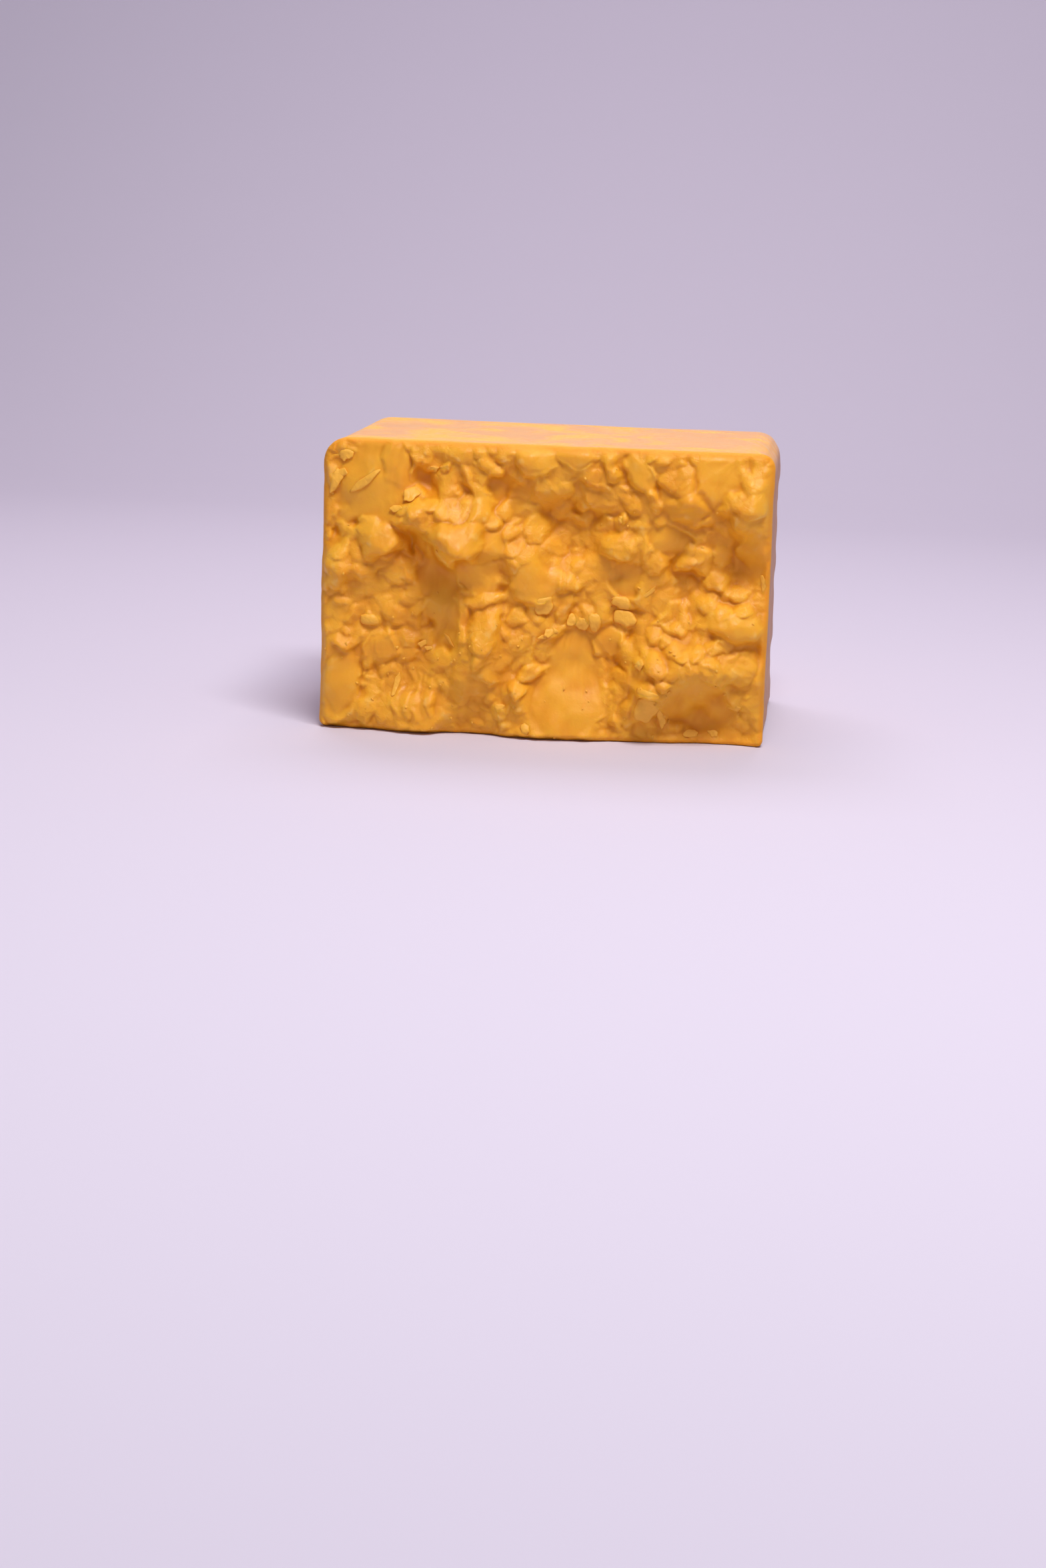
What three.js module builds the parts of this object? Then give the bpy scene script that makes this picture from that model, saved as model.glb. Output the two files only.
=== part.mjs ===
import * as THREE from 'three';

// Half of a block of mature cheddar, standing on its long side. Millimetres, +Z up.
// The broken face looks along -Y. The other five faces are smooth moulded skin.
// The sizes of the block, from which everything else is placed
const width = 140;
const height = 91;
const depth = 89;

// Roundings of the long edges: two at the top, smaller ones at the foot, and the back rim
const topLeftRadius = 8;
const topRightRadius = 4.5;
const footRadius = 2.2;
const skinRadius = 8.5;
const backRadius = 8;
const skinRunIn = 14;

// The broken face meets the skin in a narrow rounded rim, rounder at the left. Near it the break
// dies away, to these shares of its fine shapes and of its swells at the rim itself.
const rimRadius = 2.0;
const leftRimRadius = 3.2;
const leftRimRunIn = 10;
const fadeWidth = 2.6;
const rimUnevenness = 0.35;
const rimSwell = 0.7;

// At the sides the outline of the break is worn inward, which dies away over these two distances
const wornEdge = 0.35;
const wornRunIn = 6;
const wornDepth = 9;

// The mesh of the broken face: cells across and up, with a finer cell along the rim. Heights are
// sampled this far to each side of a point. The back edge turns in with this many rings.
const cellsAcross = 82;
const cellsUp = 54;
const rimCell = 1.1;
const sampleStep = 0.45;
const backRings = 3;

// How far the skin dips at most
const skinWave = 0.35;

// Places on the broken face are given across from its middle line and up from its foot.
// Each swell is [across, up, half width, half height, turn in degrees, rise].
const swells = [
  [-37, 79, 4, 6, -15, -1.6],
  [-12, 77, 6, 4.5, -10, -1.3],
  [-3, 59, 4.5, 5, 0, 1.2],
  [8, 62, 15, 14, 0, -3.9],
  [-41, 59, 4, 8, 10, -2.6],
  [-32, 54.5, 7, 8, 0, -2.5],
  [-31, 31, 6, 7, 0, -1.6],
  [-13, 50, 3, 8, 0, -0.8],
  [20, 45, 9, 6, 0, -1.2],
  [61, 57, 9, 12, 10, -3.0],
  [44, 53, 9, 13, -10, -2.6],
  [-25, 1, 11, 8, 0, -1.6],
  [51, 7, 15, 8.5, 0, -2.9],
  [-66, 68, 4, 9, 0, -1.0],
  [66, 30, 5, 4, -35, -1.4],
  [-27, 61, 13, 9, 0, 5.2],
  [-51, 59, 7, 7, 0, 1.8],
  [-19, 25, 10, 14, 0, 3.5],
  [6, -5, 15, 24, 0, 3.2],
  [14, 27, 14, 18, 0, -2.0],
  [42, 22, 13, 9, -8, 3.8],
  [58, 20, 6, 6, 0, 0.8],
  [45, 76, 10, 7, 0, 2.0],
  [63, 73, 7, 10, 0, 3.0],
  [56, 38, 9, 6, 0, 0.6],
  [-5, 53, 8, 10, 0, 2.3],
  [-62, 20, 8, 12, 0, 1.2],
  [-36, 4, 10, 9, 0, 2.3],
  [60, 37, 10, 5, -15, 2.0],
  [-54, 74, 11, 10, 0, 1.0],
  [-4, 86, 8, 5, 0, 1.4],
  [-61, 51.5, 8, 5.5, 0, 1.8],
  [-41, 67, 7, 5, 0, 2.2],
  [-25, 59, 11, 7, 0, 1.0],
  [47, 25, 13, 7, 0, 1.6],
  [24, 26, 4.5, 6, 0, -1.0],
  [35, 13, 7, 6, 0, 2.6],
  [-5, 14, 5, 6, 0, 1.6],
  [-24, 81, 11, 6, 0, 1.0],
  [-33, 69, 9, 6, 0, 1.1],
  [-24, 31, 10, 9, 0, 1.1],
  [-35, -4, 40, 8, 0, 1.2],
  [4, 77.5, 9, 5, 0, -1.2],
  [-50, 29, 6, 5, 0, 0.9],
  [-8, -3, 9, 9, 0, 1.4],
  [-38, 3, 18, 9, 0, 1.4],
  [24, 51, 6, 4, 0, -0.7],
  [-43, 68, 5, 4, 0, 1.0],
  [-65, 51, 6, 8, 0, 0.8],
  [-65, 22, 5, 8, 0, 0.7],
];

// Each crag is [across, up, half width, half height, turn, rise, lean across, lean up, sides, wall].
const crags = [
  [-56, 76, 10.5, 12.5, 10, 0.3, 0.03, -0.02, 9, 0.3],
  [-46.5, 83, 4.4, 6.8, 6, 1.0, -0.06, 0.02, 6, 0.9],
  [-39, 87, 3.6, 3.2, -30, 0.9, 0.05, -0.05, 5, 1.0],
  [-4, 87, 7.6, 4.4, -6, 1.6, 0.03, -0.1, 6, 1.3],
  [9, 88.5, 6.0, 2.8, 0, 1.4, -0.02, 0.0, 6, 1.3],
  [28.8, 85.2, 3.8, 7.6, 32, 1.5, 0.02, -0.05, 6, 1.3],
  [38, 88, 5.0, 3.0, 0, 0.8, 0, -0.05, 5, 0.8],
  [52.5, 83, 8.0, 10.0, -16, 0.9, -0.02, -0.02, 5, 1.0],
  [-15, 61, 5.4, 5.6, 15, 0.5, 0.08, -0.1, 6, 0.6],
  [-20, 50, 6.6, 6.6, 0, 0.9, 0.05, -0.14, 6, 0.6],
  [-3, 50, 7.4, 7.6, 30, 1.2, 0.04, -0.1, 5, 0.9],
  [37, 63, 7.0, 4.6, -15, 0.5, -0.02, -0.02, 6, 0.7],
  [33.5, 57, 4.2, 4.2, 10, 0.9, 0.05, -0.15, 5, 1.0],
  [46.0, 57.0, 4.8, 4.4, -22, 2.4, -0.05, -0.1, 4, 1.5],
  [64.5, 59, 4.6, 8.4, -10, 0.4, -0.04, 0.14, 6, 0.7],
  [-62.5, 15, 6.0, 10.5, 0, 1.3, 0.03, -0.04, 6, 1.2],
  [-50.5, 26, 5.6, 4.6, 20, 1.0, 0.05, -0.08, 4, 1.1],
  [19.5, 31, 5.6, 4.8, -35, 0.8, 0.02, -0.05, 5, 0.9],
  [59, 38, 9.4, 4.4, -18, 1.2, -0.02, 0.05, 6, 1.0],
  [40, 40, 5.0, 3.4, 20, 1.6, 0.02, -0.25, 5, 1.1],
  [14, 55, 7.0, 5.0, 0, 0.4, 0, -0.05, 6, 0.7],
  [-6, 28, 4.0, 4.6, 0, 0.5, 0.05, 0.0, 5, 0.9],
];

// Each rounded lump is [across, up, half width, half height, turn, base, rise, lean across, lean up, sides].
const lumps = [
  [-27.3, 62.4, 8.6, 6.2, 4, 0.9, 3.6, -0.01, -0.1, 11],
  [-29.2, 59.2, 5.0, 5.0, 0, 1.0, 3.0, 0.0, -0.08, 9],
  [-23.0, 65.5, 4.6, 3.8, 0, 1.5, 2.6, 0.0, -0.08, 9],
  [-51.5, 60.5, 5.8, 6.4, 12, 0.2, 2.6, -0.04, -0.22, 7],
  [-54.5, 64, 3.4, 3.6, 0, 0.2, 1.9, -0.1, 0, 6],
  [-40.2, 70.5, 3.4, 2.7, -10, 0.8, 1.4, 0, -0.2, 8],
  [-35.8, 71.8, 3.0, 2.6, 0, 0.9, 1.4, 0, -0.2, 8],
  [-31.4, 71.4, 3.2, 3.4, 0, 1.0, 1.5, 0, -0.2, 8],
  [-26.2, 71.0, 3.6, 3.0, 0, 1.0, 1.5, 0, -0.2, 8],
  [-20.3, 71.5, 4.2, 4.0, 0, 1.0, 2.0, -0.03, -0.12, 9],
  [-16.2, 69.5, 3.2, 3.2, 0, 0.6, 1.5, 0.08, -0.1, 8],
  [-31, 79, 4.2, 5.6, 8, 0.2, 1.5, -0.05, -0.25, 7],
  [-27.3, 87.2, 2.8, 3.2, 0, 0.0, 1.2, 0, 0, 5],
  [-8, 76.5, 3.8, 2.6, 20, -0.4, 1.1, 0, 0, 6],
  [0, 77.5, 3.8, 4.6, 10, 0.2, 2.0, 0, 0.05, 7],
  [-12, 72, 3.0, 2.8, 0, 0.4, 1.6, 0, -0.1, 6],
  [-10, 65.5, 2.6, 2.4, 0, 0.4, 1.4, 0, -0.1, 6],
  [-3, 65.5, 3.4, 4.4, 5, 0.6, 1.9, 0.0, -0.12, 6],
  [3, 61.5, 4.2, 3.6, -10, 0.5, 1.4, 0, -0.1, 6],
  [-63.5, 56.5, 3.8, 3.4, 0, -0.1, 1.7, 0.05, -0.1, 6],
  [-65, 49, 4.2, 4.4, 0, -0.2, 1.8, 0.05, -0.05, 7],
  [-57, 56, 3.0, 3.6, 20, -0.3, 1.5, 0, -0.05, 6],
  [-54.5, 49.5, 3.2, 3.2, 0, -0.3, 1.4, 0, -0.1, 6],
  [-63, 63, 2.6, 3.2, 30, -0.2, 1.3, 0, 0, 6],
  [-45.5, 50, 3.0, 2.6, 20, -0.2, 1.2, 0, -0.1, 6],
  [-65.3, 80, 2.4, 2.6, 30, 0.3, 1.4, 0, -0.1, 5],
  [12, 82.5, 3.0, 2.4, -10, 0.2, 1.4, 0, -0.1, 5],
  [6, 79, 3.2, 2.8, 10, -0.2, 1.5, 0, 0, 6],
  [26.5, 74.5, 3.8, 3.8, 0, 0.0, 1.9, 0, -0.05, 8],
  [17.5, 73, 3.4, 3.2, 0, -0.2, 1.5, 0, 0, 6],
  [10.5, 67.5, 3.6, 3.4, 0, -0.1, 1.6, 0, 0, 7],
  [3.5, 70.5, 2.8, 2.6, 0, 0.0, 1.5, 0, 0, 6],
  [18, 67, 3.0, 2.8, 0, 0.0, 1.5, 0, -0.05, 6],
  [29.5, 67.5, 2.8, 4.0, 0, 0.1, 1.5, 0, 0, 6],
  [39.5, 83, 4.4, 3.4, 10, 0.4, 1.7, 0, -0.2, 6],
  [43, 80, 2.8, 2.6, 0, 0.4, 1.4, 0, -0.1, 6],
  [43, 73, 8.2, 5.2, -10, -0.2, 2.6, 0.02, -0.02, 7],
  [64, 83.2, 4.8, 4.2, -10, 0.3, 1.8, 0, -0.25, 7],
  [60.6, 78, 3.2, 3.4, 0, 0.3, 1.7, -0.05, -0.15, 7],
  [64.5, 77, 4.0, 4.8, 0, 0.4, 1.9, 0, -0.25, 7],
  [61, 71, 3.8, 3.2, 0, 0.1, 1.6, 0, 0, 6],
  [66, 86, 3.0, 3.0, 0, 0.1, 1.4, 0, -0.1, 6],
  [22.5, 60.5, 5.4, 3.2, 4, 1.4, 2.4, 0, 0.1, 7],
  [54.5, 59, 3.2, 2.8, 0, 0.0, 1.5, 0, 0, 5],
  [53.5, 51.8, 4.8, 2.4, 26, 0.8, 1.6, 0, -0.2, 6],
  [60.5, 48.5, 3.6, 2.8, 0, 0.3, 1.7, 0, -0.2, 6],
  [8.5, 50, 2.8, 2.8, 0, 0.6, 1.7, 0, -0.1, 7],
  [-17.6, 34, 3.6, 6.4, -6, 0.4, 2.6, -0.05, -0.18, 8],
  [-7.5, 38, 2.8, 3.4, 0, 0.2, 1.9, 0, -0.03, 8],
  [-3, 37.5, 2.4, 3.2, 10, 0.3, 1.4, 0, 0, 6],
  [-2.5, 22, 3.6, 3.0, 35, 0.8, 2.0, 0, -0.1, 6],
  [-5.7, 16.3, 2.5, 2.4, 0, 0.9, 2.4, 0, -0.05, 7],
  [-23.5, 16, 3.8, 5.4, 0, 0.1, 1.8, 0, -0.05, 6],
  [-12, 8, 3.2, 3.6, 0, 0.1, 1.6, 0, 0, 6],
  [-53.3, 7.3, 3.4, 4.6, 0, 0.2, 2.1, 0, -0.08, 7],
  [-42, 28.5, 3.2, 3.4, 0, 0.3, 1.6, 0, -0.1, 6],
  [-41, 23.5, 2.8, 2.8, 0, 0.2, 1.4, 0, -0.05, 6],
  [-42, 41, 2.8, 2.4, 0, 0.2, 1.4, 0, -0.1, 6],
  [-44, 36, 2.6, 3.0, 0, 0.2, 1.4, 0, -0.1, 6],
  [34.5, 34.8, 3.0, 3.0, 20, 0.7, 1.9, 0, -0.25, 7],
  [38.6, 33.2, 2.4, 2.4, 0, 0.7, 1.5, 0, -0.25, 7],
  [43.4, 31, 3.8, 3.4, 0, 0.7, 1.9, 0, -0.25, 7],
  [48.3, 30, 3.2, 2.9, 0, 0.7, 1.6, 0, -0.2, 7],
  [55, 31.4, 4.2, 2.8, 20, 1.0, 1.9, 0, -0.2, 7],
  [60.5, 25, 6.2, 6.2, -30, 0.2, 2.7, 0.03, 0.0, 6],
  [35.8, 26, 2.5, 4.8, 24, 0.8, 2.0, 0, -0.05, 6],
  [33.4, 17.6, 4.0, 2.6, -12, 0.9, 1.8, 0, -0.3, 8],
  [67.5, 8, 2.4, 3.4, 0, -0.2, 1.5, 0, 0, 6],
  [66.8, 20, 2.6, 3.2, 0, 0, 1.3, 0, 0, 6],
];

// Torn areas where the curds hardly show: [across, up, half width, half height, turn, strength]
const calmAreas = [
  [-55, 77.5, 11.5, 13.5, 10, 1.0],
  [-58, 68, 6.5, 4.5, 0, 0.8],
  [-46, 82, 4.5, 7.5, 4, 0.95],
  [-4, 87.3, 8.5, 4.4, -6, 0.9],
  [9, 88.5, 5.5, 3.0, 0, 0.9],
  [28.8, 85.2, 3.6, 7.4, 32, 0.95],
  [52.5, 82.5, 7.6, 10.0, -16, 1.0],
  [44, 73.5, 7.0, 5.0, -10, 0.85],
  [-15, 61, 5.0, 5.6, 15, 0.85],
  [-20, 50, 6.4, 6.4, 0, 0.95],
  [-33, 49, 7.0, 9.0, 0, 1.0],
  [-31, 36, 5.0, 10.0, 5, 0.9],
  [-3, 50, 7.0, 7.0, 30, 0.9],
  [38, 63, 7.5, 4.6, -15, 0.85],
  [24, 51, 5.5, 5.2, 0, 0.85],
  [65, 60, 4.5, 8.5, -10, 0.8],
  [-62.5, 15, 6.4, 10.5, 0, 1.0],
  [-51, 25.5, 4.6, 4.6, 20, 0.8],
  [19.5, 31, 5.4, 4.6, -35, 0.9],
  [59, 37, 10, 5.0, -18, 0.9],
  [61, 24, 6.0, 5.5, -30, 0.6],
  [50, 12, 11, 9.0, -15, 1.0],
  [-28, 61.5, 8.0, 6.6, 4, 1.0],
  [-22, 69.5, 8, 5.5, 0, 0.6],
  [-36, 71, 7, 3.5, 0, 0.5],
  [-50.5, 61, 5.0, 5.5, 10, 0.85],
  [-12, 78, 6.0, 4.0, -10, 0.85],
  [-38, 80, 3.0, 5.0, -10, 0.8],
  [-39, 11, 10.0, 9.0, 0, 0.6],
  [8, 14, 11.5, 14, 0, 1.0],
  [9, 28, 6, 7.5, 0, 1.0],
  [14, 55, 6.0, 4.5, 0, 0.6],
  [-40, 60, 3.4, 6.0, 10, 0.8],
];

// The smooth fan torn out low in the middle: it starts in a point and widens to the foot
const fan = { tipAcross: 10, tipUp: 37, footUp: 0, footLeft: -3.5, footRight: 21, rise: 1.2 };

// Two sizes of curd, one to each cell of a loose grid, this far apart
const curdSizes = [
  { spacing: 9.5, half: 6.6, base: -1.0, spread: 0.8, round: 0.26, lean: 0.2, zone: 0, level: 3 },
  { spacing: 5.4, half: 4.1, base: -0.5, spread: 0.5, round: 0.3, lean: 0.26, zone: -0.5, level: 2 },
];

// How far the broad swells stand out for a rise of 1, and how tightly each one is gathered
const swellHeight = 1.9;
const swellFall = 1.1;

// A curd: the radius where its round top ends, how steeply its flank falls below it and how much
// less above it, how high it rises for a rise of 1, and how far it is cut back along its arris
const curdTop = 0.92;
const flankFall = 2.8;
const flankEase = 1.2;
const curdRise = 0.8;
const arrisCut = 0.45;
const smoothCut = 0.1;
const smoothSides = 8;

// How softly curds, facets and single lumps run into one another, and how much curd shows on a lump
const curdBlend = 0.16;
const facetBlend = 0.35;
const fanBlend = 0.4;
const lumpBlend = 0.28;
const curdSink = 0.6;
const curdOnLump = 0.6;

// Makes the same number from 0 to 1 for the same three whole numbers.
function scramble(i, j, k) {
  let h = Math.imul(i, 0x9E3779B1) ^ Math.imul(j, 0x85EBCA77) ^ Math.imul(k, 0xC2B2AE3D);
  h = Math.imul(h ^ (h >>> 15), 0x2C1B3C6D);
  h = Math.imul(h ^ (h >>> 12), 0x297A2D39);
  h ^= h >>> 15;
  return (h >>> 0) / 4294967296;
}

// A smooth random wave from -1 to 1 with hills one unit apart
function wave(x, y, seed) {
  const i = Math.floor(x);
  const j = Math.floor(y);
  const a = THREE.MathUtils.smootherstep(x - i, 0, 1);
  const b = THREE.MathUtils.smootherstep(y - j, 0, 1);
  const low = THREE.MathUtils.lerp(scramble(i, j, seed), scramble(i + 1, j, seed), a);
  const high = THREE.MathUtils.lerp(scramble(i, j + 1, seed), scramble(i + 1, j + 1, seed), a);
  return 2 * THREE.MathUtils.lerp(low, high, b) - 1;
}

// The larger of two heights, with the corner between them filled over a height of blend
function softMax(a, b, blend) {
  const overlap = Math.max(blend - Math.abs(a - b), 0) / blend;
  return Math.max(a, b) + 0.25 * blend * overlap * overlap;
}

// Where a point lies inside a turned oval, as shares of its half width and half height
function insideOval(across, up, oval) {
  const [centreAcross, centreUp, halfWidth, halfHeight, turn] = oval;
  const angle = THREE.MathUtils.degToRad(turn);
  const right = across - centreAcross;
  const rise = up - centreUp;
  return [
    (right * Math.cos(angle) + rise * Math.sin(angle)) / halfWidth,
    (rise * Math.cos(angle) - right * Math.sin(angle)) / halfHeight,
  ];
}

// 1 on the outline of an uneven polygon with softened corners, less inside it
function manySided(x, y, sides, seed) {
  let outline = 0;
  for (let side = 0; side < sides; side += 1) {
    const angle = 2 * Math.PI * (side + 0.6 * (scramble(seed, side, 11) - 0.5)) / sides;
    const reach = 0.86 + 0.22 * scramble(seed, side, 12);
    const distance = (x * Math.cos(angle) + y * Math.sin(angle)) / reach;
    outline = side === 0 ? distance : softMax(outline, distance, 0.3);
  }
  return outline;
}

// The tilt of a shape, which stops growing at its outline
function leaning(across, up, shape, r, leanAcross, leanUp) {
  return (leanAcross * (across - shape[0]) + leanUp * (up - shape[1])) / Math.max(r, 1);
}

// A torn facet with sloping walls
function facetForm(across, up, shape, seed) {
  const [, , halfWidth, halfHeight, , rise, leanAcross, leanUp, sides, wall] = shape;
  const [x, y] = insideOval(across, up, shape);
  const r = manySided(x, y, sides, seed);
  const past = Math.max(r - 0.66, 0);
  const bend = 0.5;
  const drop = past < bend ? past * past / (2 * bend) : past - bend / 2;
  const size = Math.min(halfWidth, halfHeight, 3.5);
  const lowered = size * (0.04 * (x * x + y * y) + 1.6 * wall * drop);
  return rise + leaning(across, up, shape, r, leanAcross, leanUp) - lowered;
}

// A curd broken along an arris, steep below and running out more gently above
function lumpForm(across, up, shape, seed) {
  const [, centreUp, halfWidth, halfHeight, , base, rise, leanAcross, leanUp, sides] = shape;
  const [x, y] = insideOval(across, up, shape);
  const r = (Math.hypot(x, y) + manySided(x, y, sides, seed)) / 2;
  const inner = THREE.MathUtils.clamp(r, 0, curdTop);
  const aim = 2 * Math.PI * scramble(seed, 7, 13);
  const cut = sides < smoothSides ? arrisCut : smoothCut;
  const arris = cut * Math.max(x * Math.cos(aim) + y * Math.sin(aim) - 0.05, 0);
  const above = THREE.MathUtils.clamp((up - centreUp) / Math.max(halfWidth, halfHeight), -1, 1);
  const flank = (flankFall - flankEase * above) * Math.max(r - curdTop, 0);
  const profile = Math.sqrt(1 - inner ** 2.5) - flank - arris;
  return base + curdRise * rise * profile + leaning(across, up, shape, r, leanAcross, leanUp);
}

// The curds of one size, with their place, size, turn, height and lean drawn from the seed
function makeCurds(size) {
  const curds = [];
  const columns = Math.ceil(width / size.spacing) + 2;
  const rows = Math.ceil(height / size.spacing) + 2;
  for (let row = 0; row < rows; row += 1) {
    for (let column = 0; column < columns; column += 1) {
      const draw = (k) => scramble(column + 57 * size.level, row + 91 * size.level, k);
      const nudge = column - 0.5 + 0.5 * (row % 2) + 0.8 * (draw(1) - 0.5);
      const across = -width / 2 + nudge * size.spacing;
      const up = (row - 0.5 + 0.8 * (draw(2) - 0.5)) * size.spacing;
      const half = size.half * (0.75 + 0.5 * draw(3));
      const stretch = 1 + 0.55 * (draw(4) - 0.5);
      const zone = size.zone * wave(across / 16, up / 16, 77);
      const base = size.base + zone + 2 * size.spread * (draw(8) - 0.5);
      const leanAcross = 2 * size.lean * (draw(6) - 0.5);
      const leanUp = 2 * size.lean * (draw(7) - 0.5) - 0.12;
      const sides = 5 + Math.floor(3 * draw(9));
      const oval = [across, up, half * stretch, half / stretch, 180 * draw(5)];
      curds.push([...oval, base, size.round * half, leanAcross, leanUp, sides]);
    }
  }
  return curds;
}

const curdLayers = curdSizes.map((size) => {
  return { curds: makeCurds(size), firstSeed: 5000 + 4000 * size.level };
});

// Lays the shapes near a place over a floor height.
function coverWith(form, shapes, across, up, floor, blend, firstSeed) {
  let height = floor;
  shapes.forEach((shape, index) => {
    const reach = 2.2 * Math.max(shape[2], shape[3]) + 2.5;
    if (Math.abs(across - shape[0]) < reach && Math.abs(up - shape[1]) < reach) {
      height = softMax(height, form(across, up, shape, firstSeed + index), blend);
    }
  });
  return height;
}

function fanHeight(across, up) {
  const fallen = THREE.MathUtils.clamp((fan.tipUp - up) / (fan.tipUp - fan.footUp), 0.0001, 1.2);
  const left = fan.tipAcross + (fan.footLeft - fan.tipAcross) * fallen ** 0.75;
  const right = fan.tipAcross + (fan.footRight - fan.tipAcross) * fallen ** 0.6;
  const offset = (across - (left + right) / 2) / Math.max((right - left) / 2, 0.5);
  const side = Math.max(Math.abs(offset) - 0.75, 0);
  const aboveTip = Math.max(up - fan.tipUp + 2, 0);
  return fan.rise - 1.2 * (1 - fallen) - 0.5 * offset * offset - 7 * side * side - 1.6 * aboveTip;
}

function calmness(across, up) {
  let calm = 0;
  for (const area of calmAreas) {
    const [x, y] = insideOval(across, up, area);
    const strength = area[5] * (1 - THREE.MathUtils.smoothstep(Math.hypot(x, y), 0.84, 1.12));
    calm = Math.max(calm, strength);
  }
  return calm;
}

// How far the broken face stands out at a place on it: its broad swell, and the finer shapes on that
function relief(across, up) {
  const slowAcross = across + wave(across / 12, up / 12, 21) + 1.2 * wave(across / 5, up / 5, 22);
  const slowUp = up + wave(across / 12, up / 12, 31) + 1.2 * wave(across / 5, up / 5, 32);
  let broad = 0.9 * wave(across / 10, up / 10, 71) + 0.25 * wave(across / 4, up / 4, 72);
  for (const swell of swells) {
    const [right, rise] = insideOval(slowAcross, slowUp, swell);
    broad += swellHeight * swell[5] * Math.exp(-swellFall * (right * right + rise * rise));
  }
  const calm = calmness(slowAcross, slowUp);
  let curds = -2;
  for (const layer of curdLayers) {
    curds = coverWith(lumpForm, layer.curds, slowAcross, slowUp, curds, curdBlend, layer.firstSeed);
  }
  curds -= curdSink;
  const facets = coverWith(facetForm, crags, slowAcross, slowUp, -0.2, facetBlend, 1000);
  const torn = softMax(facets, fanHeight(slowAcross, slowUp), fanBlend) + curds * (1 - calm);
  const single = coverWith(lumpForm, lumps, slowAcross, slowUp, -3, lumpBlend, 2000);
  const lump = single - 0.4 + curdOnLump * (curds + 0.3);
  return [broad, softMax(torn, lump, lumpBlend)];
}

// Moves a point of a plain rectangle so that its square corners become round ones.
function roundCorners(across, up, inset, behind) {
  const halfWidth = width / 2 - inset;
  const left = across < 0;
  const top = up > height / 2;
  const frontRadius = left ? topLeftRadius : topRightRadius;
  const full = THREE.MathUtils.smoothstep(behind, 0, skinRunIn);
  const topRadius = THREE.MathUtils.lerp(frontRadius, skinRadius, full);
  const radius = top ? topRadius : footRadius;
  const innerAcross = THREE.MathUtils.clamp(across, radius - halfWidth, halfWidth - radius);
  const innerUp = THREE.MathUtils.clamp(up, radius + inset, height - inset - radius);
  const outAcross = across - innerAcross;
  const outUp = up - innerUp;
  const length = Math.max(Math.hypot(outAcross, outUp), 1e-9);
  const pull = Math.max(Math.abs(outAcross), Math.abs(outUp)) / length;
  const x = innerAcross + outAcross * pull;
  const z = innerUp + outUp * pull;
  const atEdge = THREE.MathUtils.smoothstep(Math.abs(x), halfWidth - wornRunIn, halfWidth);
  const worn = wornEdge * atEdge * (1 - THREE.MathUtils.smoothstep(behind, 0, wornDepth));
  const ragged = 0.5 + 0.3 * wave(z / 12, x / 300, 97) + 0.2 * wave(z / 3.7, x / 300, 98);
  return [x - Math.sign(x) * worn * ragged, z];
}

// Evenly spaced grid lines with a finer cell at both ends
function gridLines(start, end, cells) {
  const lines = [start];
  const step = (end - start - 2 * rimCell) / (cells - 2);
  for (let cell = 0; cell <= cells - 2; cell += 1) {
    lines.push(start + rimCell + step * cell);
  }
  lines.push(end);
  return lines;
}

// How far the front stands out, with the crags dying away into a rounded rim.
// The mean of four close places keeps steep little walls from breaking up between the cells.
function frontOf(across, up) {
  const edge = Math.min(width / 2 - Math.abs(across), up, height - up);
  const leftward = 1 - THREE.MathUtils.smoothstep(across, -width / 2, leftRimRunIn - width / 2);
  const radius = THREE.MathUtils.lerp(rimRadius, leftRimRadius, leftward);
  const rounding = THREE.MathUtils.clamp(radius - edge, 0, radius);
  const rim = radius - Math.sqrt(radius * radius - rounding * rounding);
  const inward = THREE.MathUtils.smoothstep(edge, 0, fadeWidth);
  let mean = 0;
  for (const right of [-sampleStep, sampleStep]) {
    for (const rise of [-sampleStep, sampleStep]) {
      const [broad, fine] = relief(across + right, up + rise);
      mean += broad * THREE.MathUtils.lerp(rimSwell, 1, inward) / 4;
      mean += fine * THREE.MathUtils.lerp(rimUnevenness, 1, inward) / 4;
    }
  }
  return mean - rim;
}

// The skin behind the rim dips a little here and there, but is flat underneath and straight at the sides.
function skinPoint(across, up, behind, inset) {
  const [x, z] = roundCorners(across, up, inset, behind);
  const lift = THREE.MathUtils.smoothstep(z, 2, 20) * THREE.MathUtils.smoothstep(behind, 0, skinRunIn);
  const dip = skinWave * lift * (0.5 + 0.5 * wave((x + 2 * z) / 26, behind / 24, 91));
  return [x, z - dip * Math.max(z - height / 2, 0) / (height / 2)];
}

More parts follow.
